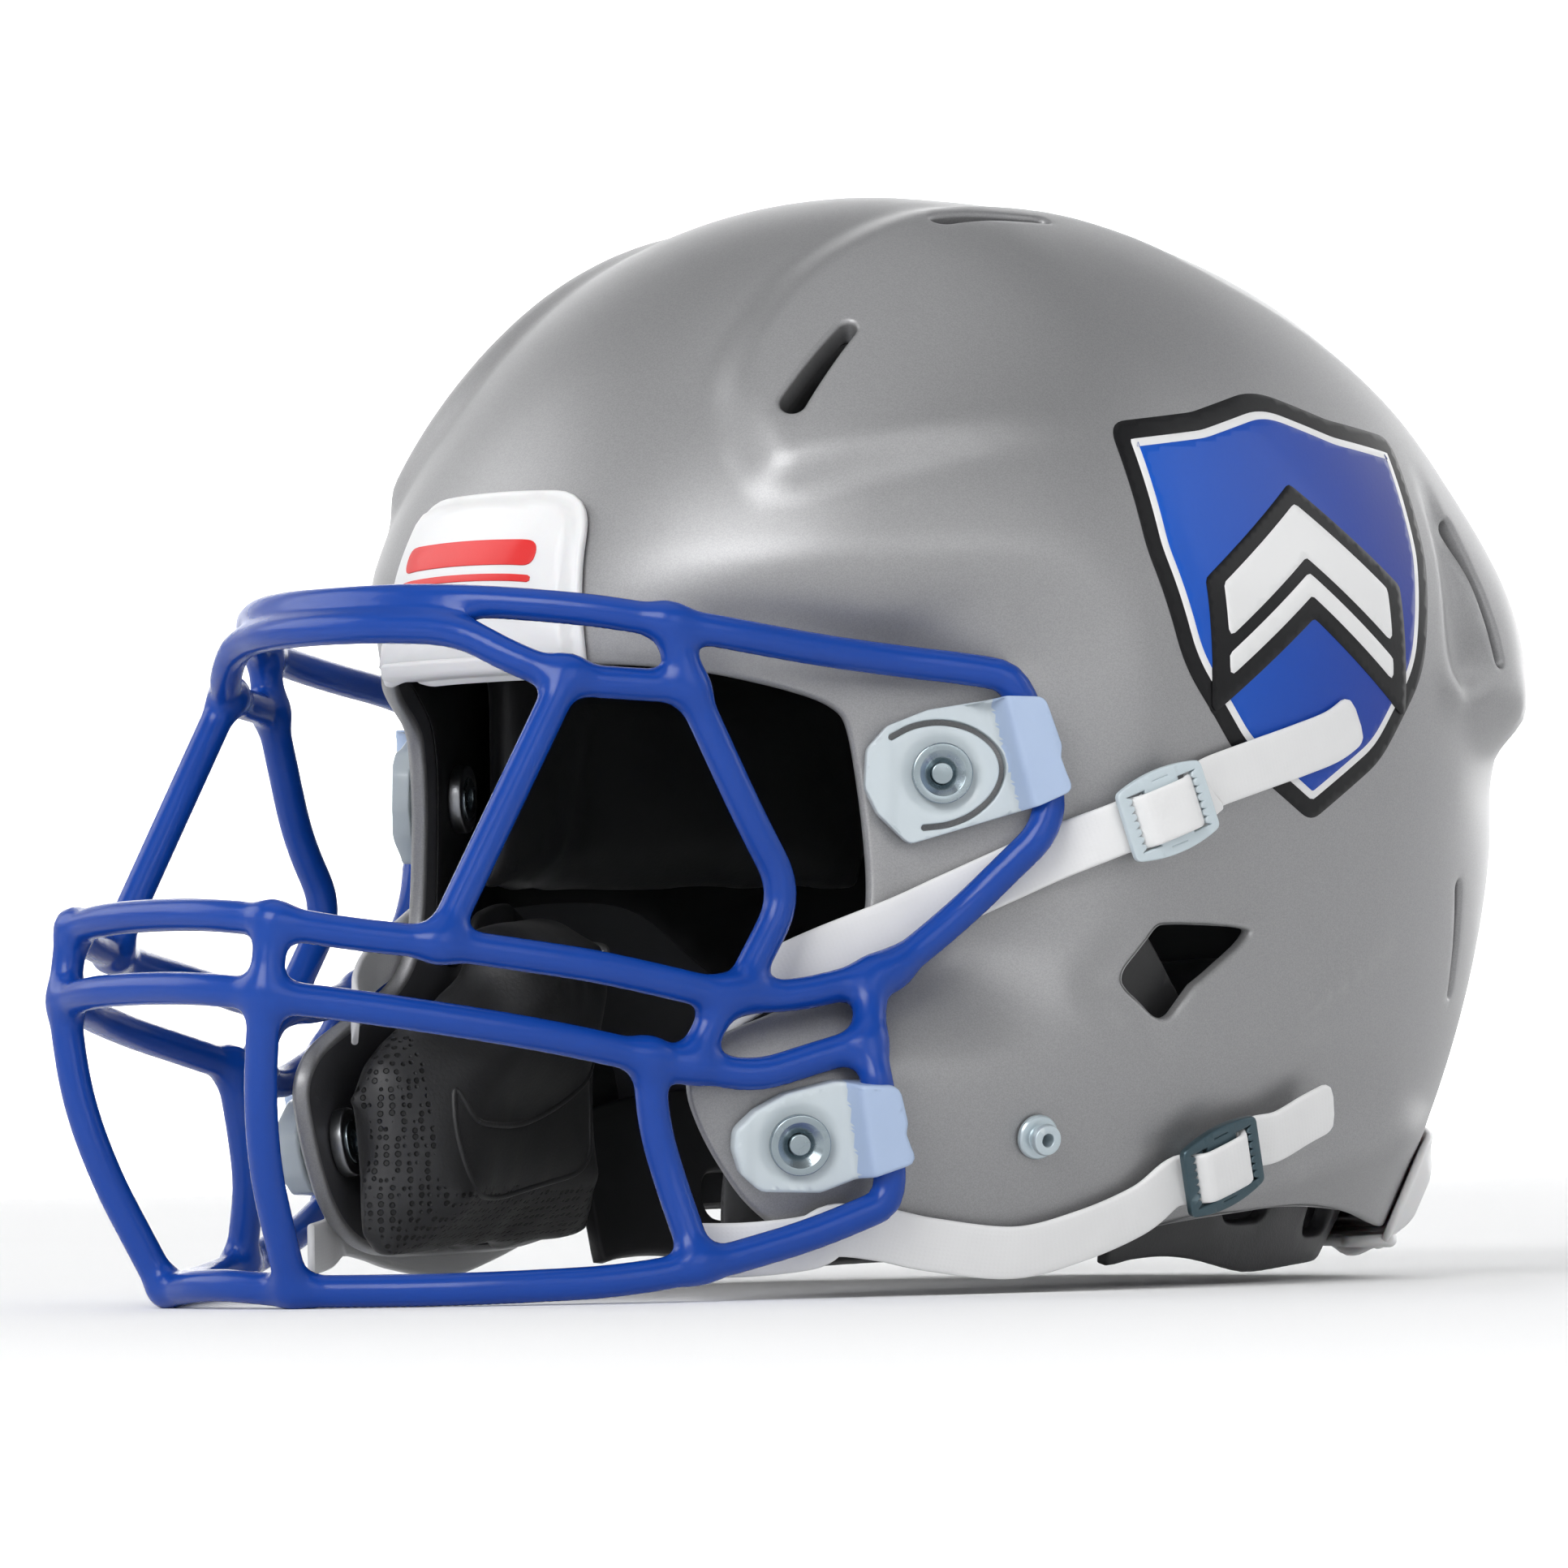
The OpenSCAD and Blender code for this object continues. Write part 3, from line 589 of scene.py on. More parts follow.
def material(name, colour, second=None, rough=0.4, rough_vary=0.06, metallic=0.0, coat=0.0, coat_rough=0.05,
             scale=60.0, detail=4.0, grain=900.0, bump=0.05, bump_size=0.0004, transmission=0.0, ior=1.5,
             sheen=0.0, subsurface=0.0, wear=None, specular=0.5):
    """Principled surface with drifting colour, uneven gloss and a fine grain in its relief."""
    mat = bpy.data.materials.new(name)
    mat.use_nodes = True
    nodes, links = mat.node_tree.nodes, mat.node_tree.links
    bsdf = nodes["Principled BSDF"]
    bsdf.inputs["Metallic"].default_value = metallic
    bsdf.inputs["Coat Weight"].default_value = coat
    bsdf.inputs["Coat Roughness"].default_value = coat_rough
    bsdf.inputs["Transmission Weight"].default_value = transmission
    bsdf.inputs["IOR"].default_value = ior
    bsdf.inputs["Sheen Weight"].default_value = sheen
    bsdf.inputs["Subsurface Weight"].default_value = subsurface
    bsdf.inputs["Subsurface Scale"].default_value = 0.004
    bsdf.inputs["Specular IOR Level"].default_value = specular
    place = nodes.new("ShaderNodeTexCoord")
    cloud = nodes.new("ShaderNodeTexNoise")
    cloud.inputs["Scale"].default_value = scale
    cloud.inputs["Detail"].default_value = detail
    links.new(place.outputs["Object"], cloud.inputs["Vector"])
    mix = nodes.new("ShaderNodeMix")
    mix.data_type = "RGBA"
    mix.inputs["A"].default_value = (*colour, 1)
    mix.inputs["B"].default_value = (*(second or [c * 0.88 for c in colour]), 1)
    links.new(cloud.outputs["Fac"], mix.inputs["Factor"])
    last = mix.outputs["Result"]
    if wear is not None:
        geo = nodes.new("ShaderNodeNewGeometry")
        edge = nodes.new("ShaderNodeMapRange")
        edge.inputs["From Min"].default_value = 0.53
        edge.inputs["From Max"].default_value = 0.62
        edge.inputs["To Max"].default_value = 0.55
        links.new(geo.outputs["Pointiness"], edge.inputs["Value"])
        rub = nodes.new("ShaderNodeMix")
        rub.data_type = "RGBA"
        rub.inputs["B"].default_value = (*wear, 1)
        links.new(last, rub.inputs["A"])
        links.new(edge.outputs["Result"], rub.inputs["Factor"])
        last = rub.outputs["Result"]
    links.new(last, bsdf.inputs["Base Color"])
    gloss = nodes.new("ShaderNodeMapRange")
    gloss.inputs["To Min"].default_value = max(0.02, rough - rough_vary)
    gloss.inputs["To Max"].default_value = rough + rough_vary
    links.new(cloud.outputs["Fac"], gloss.inputs["Value"])
    links.new(gloss.outputs["Result"], bsdf.inputs["Roughness"])
    fine = nodes.new("ShaderNodeTexNoise")
    fine.inputs["Scale"].default_value = grain
    fine.inputs["Detail"].default_value = 3
    links.new(place.outputs["Object"], fine.inputs["Vector"])
    relief_node = nodes.new("ShaderNodeBump")
    relief_node.inputs["Strength"].default_value = bump
    relief_node.inputs["Distance"].default_value = bump_size
    links.new(fine.outputs["Fac"], relief_node.inputs["Height"])
    links.new(relief_node.outputs["Normal"], bsdf.inputs["Normal"])
    return mat


def flake(mat, amount=0.10, scale=4200.0):
    """Metal flake: tiny cells that differ in brightness, under the base colour."""
    nodes, links = mat.node_tree.nodes, mat.node_tree.links
    bsdf = nodes["Principled BSDF"]
    source = bsdf.inputs["Base Color"].links[0].from_socket
    place = nodes.new("ShaderNodeTexCoord")
    cells = nodes.new("ShaderNodeTexVoronoi")
    cells.inputs["Scale"].default_value = scale
    links.new(place.outputs["Object"], cells.inputs["Vector"])
    light = nodes.new("ShaderNodeMapRange")
    light.inputs["To Min"].default_value = 1 - amount
    light.inputs["To Max"].default_value = 1 + amount
    grey = nodes.new("ShaderNodeSeparateColor")
    links.new(cells.outputs["Color"], grey.inputs["Color"])
    links.new(grey.outputs["Red"], light.inputs["Value"])
    times = nodes.new("ShaderNodeVectorMath")
    times.operation = "SCALE"
    links.new(source, times.inputs[0])
    links.new(light.outputs["Result"], times.inputs["Scale"])
    links.new(times.outputs["Vector"], bsdf.inputs["Base Color"])
    return mat


def perforated(mat, pitch=0.0019):
    """Small dark holes, closely spaced, that also dent the surface."""
    nodes, links = mat.node_tree.nodes, mat.node_tree.links
    bsdf = nodes["Principled BSDF"]
    source = bsdf.inputs["Base Color"].links[0].from_socket
    place = nodes.new("ShaderNodeTexCoord")
    cells = nodes.new("ShaderNodeTexVoronoi")
    cells.inputs["Scale"].default_value = 1 / pitch
    cells.inputs["Randomness"].default_value = 0.25
    links.new(place.outputs["Object"], cells.inputs["Vector"])
    hole = nodes.new("ShaderNodeMapRange")
    hole.inputs["From Min"].default_value = 0.28
    hole.inputs["From Max"].default_value = 0.40
    links.new(cells.outputs["Distance"], hole.inputs["Value"])
    times = nodes.new("ShaderNodeVectorMath")
    times.operation = "SCALE"
    links.new(source, times.inputs[0])
    links.new(hole.outputs["Result"], times.inputs["Scale"])
    links.new(times.outputs["Vector"], bsdf.inputs["Base Color"])
    dent = nodes.new("ShaderNodeBump")
    dent.inputs["Strength"].default_value = 0.8
    dent.inputs["Distance"].default_value = 0.0006
    links.new(hole.outputs["Result"], dent.inputs["Height"])
    links.new(dent.outputs["Normal"], bsdf.inputs["Normal"])
    return mat


M_PAINT = flake(material("shell_paint", (0.33, 0.33, 0.335), (0.30, 0.30, 0.305), rough=0.43,
                         rough_vary=0.03, metallic=0.6, coat=0.07, coat_rough=0.16, scale=14, grain=2500,
                         bump=0.03), 0.08)
# Inner faces of the shell: the shell's own grey darkened, as painted shade of the inside.
M_SHADED_INSIDE = material("shell_inside", (0.10, 0.10, 0.105), (0.075, 0.075, 0.08), rough=0.55, scale=40,
                 grain=1500, bump=0.25, bump_size=0.0002)
M_LINER = material("liner_black", (0.010, 0.010, 0.011), (0.006, 0.006, 0.006), rough=0.6, scale=80,
                   grain=2600, bump=0.3, bump_size=0.0002)
M_BUMPER = material("bumper_vinyl", (0.80, 0.80, 0.80), (0.74, 0.74, 0.745), rough=0.38, scale=30,
                    grain=1400, bump=0.06, subsurface=0.08)
M_RED = material("bumper_mark", (0.75, 0.012, 0.012), (0.66, 0.01, 0.01), rough=0.35, scale=60, grain=1200)
M_COAT = material("faceguard_coating", (0.005, 0.056, 0.34), (0.004, 0.045, 0.29), rough=0.25,
                  rough_vary=0.04, coat=0.06, coat_rough=0.08, specular=0.3, scale=45, grain=420,
                  bump=0.05, bump_size=0.0006)
M_CLIP = material("clip_plastic", (0.74, 0.81, 0.84), (0.69, 0.77, 0.81), rough=0.22, rough_vary=0.05,
                  transmission=0.25, ior=1.45, scale=90, grain=700, bump=0.05)
M_LOOP = material("clip_loop_plastic", (0.50, 0.62, 0.83), (0.45, 0.57, 0.79), rough=0.22, rough_vary=0.05,
                  transmission=0.2, ior=1.45, scale=90, grain=700, bump=0.05)
M_STEEL = material("release_steel", (0.36, 0.42, 0.45), (0.31, 0.37, 0.40), rough=0.26, metallic=1.0,
                   scale=200, grain=3000, bump=0.04, wear=(0.6, 0.64, 0.66))
M_INNER = material("inner_steel", (0.42, 0.43, 0.44), (0.35, 0.36, 0.37), rough=0.34, metallic=1.0,
                   scale=160, grain=2400, bump=0.06)
M_STUD = material("stud_zinc", (0.55, 0.63, 0.67), (0.50, 0.58, 0.62), rough=0.30, metallic=0.6, scale=150,
                  grain=2400, bump=0.04, wear=(0.75, 0.8, 0.82))
M_PALE = material("high_buckle_plastic", (0.56, 0.64, 0.68), (0.51, 0.59, 0.63), rough=0.33, scale=120,
                  grain=1800, bump=0.06, coat=0.3, wear=(0.78, 0.84, 0.86))
M_DARK = material("low_buckle_steel", (0.055, 0.095, 0.115), (0.04, 0.075, 0.095), rough=0.3, metallic=0.7,
                  scale=120, grain=1800, bump=0.06, coat=0.3, wear=(0.2, 0.28, 0.32))
M_FRAME = material("frame_plastic", (0.040, 0.040, 0.042), (0.028, 0.028, 0.03), rough=0.45, scale=70,
                   grain=1600, bump=0.2, bump_size=0.0003)
M_PAD = material("pad_vinyl", (0.024, 0.024, 0.025), (0.017, 0.017, 0.018), rough=0.46, rough_vary=0.08,
                 scale=60, grain=1100, bump=0.22, bump_size=0.0003, sheen=0.1)
M_MESH = perforated(material("pad_mesh", (0.030, 0.030, 0.032), (0.022, 0.022, 0.023), rough=0.5, scale=200,
                             grain=2200, bump=0.1))
M_BLACK = material("badge_black", (0.004, 0.004, 0.005), (0.006, 0.006, 0.007), rough=0.4, scale=30,
                   coat=0.08, specular=0.2)
M_WHITE = material("badge_white", (0.82, 0.82, 0.82), (0.78, 0.78, 0.78), rough=0.35, scale=30, coat=0.15)


def badge_blue():
    """Blue print, darkened rearward by painted shade."""
    mat = material("badge_blue", (0.004, 0.07, 0.50), rough=0.38, scale=30, coat=0.1, specular=0.25)
    nodes, links = mat.node_tree.nodes, mat.node_tree.links
    place = nodes.new("ShaderNodeTexCoord")
    split = nodes.new("ShaderNodeSeparateXYZ")
    links.new(place.outputs["Object"], split.inputs["Vector"])
    span = nodes.new("ShaderNodeMapRange")
    span.inputs["From Min"].default_value = 0.0
    span.inputs["From Max"].default_value = 0.12
    links.new(split.outputs["Y"], span.inputs["Value"])
    # Painted shade: the blue darkens from Y 0 to 0.12 m, towards the back.
    ramp = nodes.new("ShaderNodeValToRGB")
    ramp.color_ramp.elements[0].color = (0.004, 0.10, 0.55, 1)
    ramp.color_ramp.elements[1].color = (0.002, 0.010, 0.22, 1)
    links.new(span.outputs["Result"], ramp.inputs["Fac"])
    links.new(ramp.outputs["Color"], nodes["Principled BSDF"].inputs["Base Color"])
    return mat


M_BLUE = badge_blue()


def webbing_material():
    """White webbing: close crosswise ribs and lengthwise yarns by position along and across the strap."""
    mat = material("webbing", (0.80, 0.80, 0.80), (0.74, 0.74, 0.74), rough=0.5, scale=90, sheen=0.25)
    nodes, links = mat.node_tree.nodes, mat.node_tree.links
    uv = nodes.new("ShaderNodeUVMap")
    uv.uv_map = "along"
    waves = []
    for direction, pitch in (("X", 1.1), ("Y", 0.9)):
        wave = nodes.new("ShaderNodeTexWave")
        wave.bands_direction = direction
        wave.inputs["Scale"].default_value = 2 * math.pi / 20 / pitch
        wave.inputs["Distortion"].default_value = 0.4
        links.new(uv.outputs["UV"], wave.inputs["Vector"])
        waves.append(wave)
    both_ways = nodes.new("ShaderNodeMath")
    both_ways.operation = "MULTIPLY"
    links.new(waves[0].outputs["Fac"], both_ways.inputs[0])
    links.new(waves[1].outputs["Fac"], both_ways.inputs[1])
    weave = nodes.new("ShaderNodeBump")
    weave.inputs["Strength"].default_value = 0.12
    weave.inputs["Distance"].default_value = 0.0002
    links.new(both_ways.outputs["Value"], weave.inputs["Height"])
    links.new(weave.outputs["Normal"], nodes["Principled BSDF"].inputs["Normal"])
    return mat


M_WEB = webbing_material()

# ---------------------------------------------------------------- shell

# Side view, as [Y, Z], from the middle of the brow down the face opening, round
# the jaw flap and along the lower edge to the middle of the back.
OUTLINE = [
    [-98, 143.5], [-86, 142.5], [-73, 140], [-60, 136], [-51.5, 131.8], [-48, 126],
    [-46, 110], [-45.5, 92], [-47, 82], [-52, 73], [-60, 67.5], [-72, 62.5], [-84, 57.5],
    [-89.5, 52.5], [-91, 46.5], [-89, 39], [-85, 30.5], [-79, 21.5], [-71, 15], [-60, 11],
    [-46, 9.5], [-20, 9.5], [0, 10.5], [21, 14.5], [46, 17], [66, 18], [90, 16.5], [113, 13],
    [140, 12], [149, 12],
]
RIM = 1.3


def shell_edge():
    side = curve(OUTLINE, n=10)
    q = q_of_side(side)
    front, back = to_q(-90, q_level(143.5)), to_q(90, q_level(12))
    q = q[np.abs(np.degrees(np.arctan2(q[:, 1], q[:, 0]))) < 88]
    half = np.vstack([front, q, back])
    return disc_curve(np.vstack([half, half[1:-1][::-1] * [-1, 1]]), 1.6)


def q_level(z):
    """The level of a height on the shell."""
    if z > SHOULDER:
        return math.degrees(math.acos((z - SHOULDER) / (TOP - SHOULDER))) / 90
    return 2 - z / SHOULDER


def slot_loop(length, width, taper=1.0, n=18):
    """An outline like a drop: half circles joined, the far one taper times as wide."""
    g = np.linspace(-90, 90, n)
    r0, r1 = width / 2, width / 2 * taper
    c = length / 2
    far = [[c - r1 + r1 * math.cos(math.radians(t)), r1 * math.sin(math.radians(t))] for t in g]
    near = [[-c + r0 - r0 * math.cos(math.radians(t)), -r0 * math.sin(math.radians(t))] for t in g]
    return np.array(far + near)


VENTS = [([-47.5, 0.56], 62, 31, 8.4, 0.8), ([-5, 0.262], 2, 35, 7.5, 0.75),
         ([39, 0.83], -76, 38, 7, 0.8), ([37.5, 1.37], -80, 30, 6.5, 0.85)]


def build_shell():
    loops = [shell_edge()]
    ear = q_of_side(filleted(EAR_HOLE, [6, 5, 3.5, 6]))
    loops += both(disc_curve(ear, 1.3))
    for at, turn, length, width, taper in VENTS:
        hole = Place(at, turn).q(slot_loop(length, width, taper))
        loops += both(disc_curve(hole, 1.1))
    # The inner faces take the darkened grey, which is painted shade.
    obj = skin("shell", loops, outer, lambda q: plain(q, -WALL), RIM, [M_PAINT, M_SHADED_INSIDE], inner=1)
    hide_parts("shell")


build_shell()

# ---------------------------------------------------------------- faceguard

WIRE_R = 3.6
BEND = 9
WELD = 4.6


def hold(at, p):
    return Place(at).out(p)[0].tolist()


UPPER_CLIP, LOWER_CLIP = [-27, 1.07], [-40, 1.72]
HIGH_STUD, LOW_STUD, SPARE_STUD = [-7.5, 1.14], [1.5, 1.77], [-16.5, 1.72]
UPPER_LOOP = [[18.4, 15.5, 8.6], [24, -7.5, 8.6]]
LOWER_LOOP = [[17, 14.5, 7], [20.4, -7.5, 7]]

HALF_PATHS = [
    [[0, -134, 155.5], [16, -132.7, 155.5], [32, -128, 155], [48, -118.5, 153.5],
     [61, -107, 151.5], [70.7, -96.5, 148.8], [77.5, -84, 146.2], [82.5, -65.5, 143],
     [88, -46.5, 140.5], [96, -31.5, 138.5], [102, -24.5, 136.8],
     hold(UPPER_CLIP, UPPER_LOOP[0]), hold(UPPER_CLIP, UPPER_LOOP[1]),
     [107.2, -20.5, 101], [102.5, -25, 95], [97, -32, 86.5], [92.8, -41, 78.5], [90, -50, 72]],
    [[0, -139.4, 149.6], [18, -137.4, 149.4], [33, -131.8, 148.6], [41, -129, 146.8],
     [48, -125.5, 142.6], [54.5, -121, 139], [60, -114, 136.4], [66, -103.5, 135.4], [72.6, -92.8, 134.6]],
    [[0, -184.5, 86.5], [20, -183.8, 86], [35.5, -180.8, 84.2], [46, -168, 81.2],
     [57.3, -152.1, 78.9], [66, -135.5, 76], [71.5, -122, 73.8], [75, -107.7, 70.8],
     [77.5, -95, 68], [79, -85, 66.4], [83, -71.5, 66.6], [87, -59, 69.4], [90, -50, 72]],
    [[0, -188.5, 70.5], [20, -187.8, 70], [36, -183.5, 68.2], [44, -171.5, 66.3],
     [51, -161.8, 64.5], [61.4, -143.1, 61], [67.7, -125.3, 57.6], [72.2, -107, 53.6],
     [76, -96, 51.4], [82.5, -84, 48.8], [87.5, -72, 52.6], [93.5, -61, 56]],
    [[0, -170, 5.2], [8, -169.5, 5], [22, -166, 3.8], [37, -151.6, 3.6], [53, -137.4, 3.8],
     [71, -115.5, 4.8], [80, -98.2, 7.6], [89, -74.3, 14], [96.5, -59, 20.5],
     hold(LOWER_CLIP, LOWER_LOOP[1]), hold(LOWER_CLIP, LOWER_LOOP[0]),
     [93.5, -60.5, 55], [91.5, -58, 64], [89, -54.5, 70.5]],
]
SIDE_PATHS = [
    [[59, -116.2, 138], [58.2, -134.5, 108.5], [57.3, -152.8, 79]],
    [[70.7, -96.8, 149], [72.6, -92.8, 134.6], [78.4, -80.5, 105], [79.4, -70.5, 89], [78.2, -84.5, 68]],
    [[35, -181, 84.6], [35.3, -183.8, 68.5], [32, -183, 47], [28, -178.4, 29.3], [22.5, -167, 5]],
    [[72.3, -106.4, 53.8], [71.3, -104, 38], [73, -101, 26], [79, -98.8, 9]],
    [[78, -89, 66.3], [76, -97, 52.2]],
]


def wire_line(path, mirror):
    """The wire's centreline with its bends rounded, evenly spaced."""
    p = np.array(path, float)
    if mirror:
        p = np.vstack([p[::-1][:-1] * [-1, 1, 1], p])
    out = [p[0]]
    for i in range(1, len(p) - 1):
        u, w = p[i - 1] - p[i], p[i + 1] - p[i]
        lu, lw = np.linalg.norm(u), np.linalg.norm(w)
        gentle = (u @ w) / (lu * lw) < -0.9
        d = 0.49 * min(lu, lw) if gentle else min(BEND, 0.47 * lu, 0.47 * lw)
        a, b = p[i] + d * u / lu, p[i] + d * w / lw
        for t in np.linspace(0, 1, 7):
            out.append((1 - t) ** 2 * a + 2 * t * (1 - t) * p[i] + t * t * b)
    out.append(p[-1])
    return resample(out, 2.5)


def by_size(faces):
    """The quads and the triangles of a list of faces."""
    return [[x for x in faces if len(x) == k] for k in (4, 3)]


def tube_mesh(line, r, n=12):
    """Plain closed tube with a cone at each end, for the first rough mesh."""
    t = unit(np.gradient(line, axis=0))
    side = unit(np.cross(t[0], [0.3, 0.5, 0.8]))
    verts, faces = [], []
    g = np.linspace(0, 2 * np.pi, n, endpoint=False)
    for i in range(len(line)):
        side = unit(side - (side @ t[i]) * t[i])
        other = np.cross(t[i], side)
        verts += (line[i] + r * (np.cos(g)[:, None] * side + np.sin(g)[:, None] * other)).tolist()
    for i in range(len(line) - 1):
        for k in range(n):
            a, b = i * n + k, i * n + (k + 1) % n
            faces.append([a, b, b + n, a + n])
    first, last = len(verts), len(verts) + 1
    verts += [(line[0] - r * 0.6 * t[0]).tolist(), (line[-1] + r * 0.6 * t[-1]).tolist()]
    end = (len(line) - 1) * n
    faces += [[first, (k + 1) % n, k] for k in range(n)]
    faces += [[last, end + k, end + (k + 1) % n] for k in range(n)]
    return verts, faces


def baked(obj):
    """The object's mesh with its modifiers applied, and the modifiers gone."""
    dg = bpy.context.evaluated_depsgraph_get()
    mesh = bpy.data.meshes.new_from_object(obj.evaluated_get(dg), depsgraph=dg)
    obj.modifiers.clear()
    obj.data = mesh
    return obj


def coords(mesh):
    co = np.zeros(len(mesh.vertices) * 3)
    mesh.vertices.foreach_get("co", co)
    return co.reshape(-1, 3)


def set_coords(mesh, co):
    mesh.vertices.foreach_set("co", np.asarray(co, np.float32).ravel())
    mesh.update()


def weld_field(p, lines, reach=14.0, chunk=8):
    """Distance from points to the wires with the welds filled, and its gradient."""
    total = np.full(len(p), 60.0)
    grad = np.zeros((len(p), 3))
    for line in lines:
        d = np.full(len(p), 60.0)
        near = np.zeros((len(p), 3))
        for s in range(0, len(line) - 1, chunk):
            seg = line[s:s + chunk + 1]
            lo, hi = seg.min(0) - reach, seg.max(0) + reach
            ids = np.nonzero(((p > lo) & (p < hi)).all(1))[0]
            if not len(ids):
                continue
            q = p[ids]
            for a, b in zip(seg[:-1], seg[1:]):
                e = b - a
                t = np.clip(((q - a) @ e) / (e @ e), 0, 1)
                c = a + t[:, None] * e
                dist = np.linalg.norm(q - c, axis=1)
                better = dist < d[ids]
                d[ids[better]] = dist[better]
                near[ids[better]] = c[better]
        g = (p - near) / np.maximum(d, 1e-9)[:, None]
        h = np.maximum(WELD - np.abs(total - d), 0) / WELD
        closer = d < total
        share = np.where(closer, 1 - h / 2, h / 2)[:, None]
        grad = np.where(d[:, None] > 59, grad, share * g + (1 - share) * grad)
        total = np.minimum(total, d) - h * h * WELD / 4
    return total, grad


def build_faceguard():
    lines = [wire_line(p, True) for p in HALF_PATHS]
    for p in SIDE_PATHS:
        lines += [wire_line(p, False), wire_line((np.array(p) * [-1, 1, 1]).tolist(), False)]
    verts, faces = [], []
    for line in lines:
        v, f = tube_mesh(line, WIRE_R)
        faces += [[i + len(verts) for i in face] for face in f]
        verts += v
    obj = make("faceguard", verts, [[f for f in faces if len(f) == 4], [f for f in faces if len(f) == 3]],
               M_COAT, body=None)
    mod = obj.modifiers.new("join", "REMESH")
    mod.mode = "VOXEL"
    mod.voxel_size = 0.00125
    baked(obj)
    p = coords(obj.data) / MM
    for _ in range(5):
        d, g = weld_field(p, lines)
        g2 = np.maximum((g * g).sum(1), 0.2)
        p = p - np.clip((d - WIRE_R) / g2, -2.0, 2.0)[:, None] * g
    set_coords(obj.data, p * MM)
    obj.data.polygons.foreach_set("use_smooth", np.ones(len(obj.data.polygons), bool))
    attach(obj, BODY)
    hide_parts("upper_bar", "brow_bar", "nose_bar_upper", "nose_bar_lower", "lower_bar",
                "eye_bar_l", "eye_bar_r", "side_bar_l", "side_bar_r", "chin_bar_l", "chin_bar_r",
                "jaw_bar_l", "jaw_bar_r", "short_links")


build_faceguard()

# ---------------------------------------------------------------- clips, buttons and studs

UPPER_OUTLINE = [[-16.2, 5.6], [-11.8, 10.4], [-2.8, 13.8], [14, 16.3], [22, 16], [25.6, 5.5], [25.2, 3],
                 [26.4, -0.6], [28, -4.2], [20.6, -7.4], [-7.4, -15.2], [-14.2, -8.5], [-16.8, -2.8]]
LOWER_OUTLINE = [[-13.4, 2.8], [-9.3, 6.7], [-2.6, 10.3], [8, 12.8], [20.5, 12.4], [22.3, 5], [21.9, 2.6],
                 [23, -0.4], [24.3, -3.2], [13.5, -6.8], [4.8, -10], [-8.1, -9.6], [-12.1, -6], [-13.7, -1]]
UPPER_GROOVE = [[-11.2, 8.2], [-6, 10.6], [0.5, 11.3], [7, 9.6], [12, 5.6], [13.6, 0.4], [11.6, -4.8],
                [7, -9], [1.5, -11.3], [-4.2, -12]]
CLIP_T = 6.5
CLIP_BORE_R = 5.4
GROOVE_HALF = 1.1
LOOP_BAND = 7  # how far the blue loop reaches from the wire towards the button


def groove_loop(line, half):
    """The outline of a slot of even width that follows a line."""
    line = resample(curve(line, n=8), 0.9)
    t = unit(np.gradient(line, axis=0))
    nrm = np.stack([-t[:, 1], t[:, 0]], 1)
    start = unit(line[0] - line[1])
    end = unit(line[-1] - line[-2])
    turns = np.linspace(0.5, math.pi - 0.5, 4)
    caps = [line[-1] + half * (end * math.sin(g) - nrm[-1] * math.cos(g)) for g in turns]
    caps2 = [line[0] + half * (start * math.sin(g) + nrm[0] * math.cos(g)) for g in turns]
    return np.vstack([line - half * nrm, caps, (line + half * nrm)[::-1], caps2])


def build_clip(name, at, outline, loop, gap, groove, side, node):
    place = Place(at)
    a, b = np.array(loop[0][:2]), np.array(loop[1][:2])
    axis = unit(b - a)
    across = np.array([-axis[1], axis[0]])
    across = across if across[0] > 0 else -across
    crown = loop[0][2] + WIRE_R + 2.0 - CLIP_T

    def top(p):
        s = (p - a) @ across
        hump = crown * smooth((s + 8.2) / 4.4) * (1 - 0.25 * smooth((s - 3.6) / 3))
        r = np.linalg.norm(p, axis=1)
        dish = -1.1 * (1 - smooth((r - 6.6) / 3.4))
        lip = 0.55 * smooth((-p[:, 0] - 9.5) / 3) * (1 - smooth((-p[:, 0] - 14) / 3))
        return place.out(np.column_stack([p, CLIP_T + hump + dish * (s < -6) + lip]))

    def bottom(p):
        return place.out(np.column_stack([p, np.full(len(p), gap)]))

    loops = [resample(filleted(outline, 2.2), 0.8, True)]
    g = np.linspace(0, 2 * np.pi, 40, endpoint=False)
    loops.append(np.stack([CLIP_BORE_R * np.cos(g), CLIP_BORE_R * np.sin(g)], 1))
    if groove is not None:
        loops.append(groove_loop(groove, GROOVE_HALF))
    xs, ys = np.meshgrid(np.arange(-20, 31, 0.8), np.arange(-20, 22, 0.8))
    grid = np.stack([xs.ravel(), ys.ravel()], 1)
    grid = grid[inside(grid, ccw(loops[0]))]
    for hole in loops[1:]:
        grid = grid[~inside(grid, hole)]
    flat = lambda q: np.column_stack([q, np.zeros(len(q))])
    grid = clear_of(grid, flat(grid), [flat(q) for q in loops], 0.45)
    obj = sheet(name, loops, grid, top, bottom, 0.9 if groove is None else 0.4, M_CLIP, side=side)
    start, beside = place.out(np.array([[*a, 0], [*(a + across), 0]]))
    obj.data.materials.append(M_LOOP)
    middles = np.array([poly.center for poly in obj.data.polygons]) / MM * [side, 1, 1]
    over_wire = (middles - start) @ unit(beside - start) > -LOOP_BAND
    obj.data.polygons.foreach_set("material_index", over_wire.astype(int))
    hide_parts(node)


RING_R, PIN_R = 6.8, 2.4
STUD_TOP = 5.6
SPRING_R, SPRING_FOOT = 1.5, -6.1
SPRING_TURNS, SPRING_PITCH = 2.6, 0.62


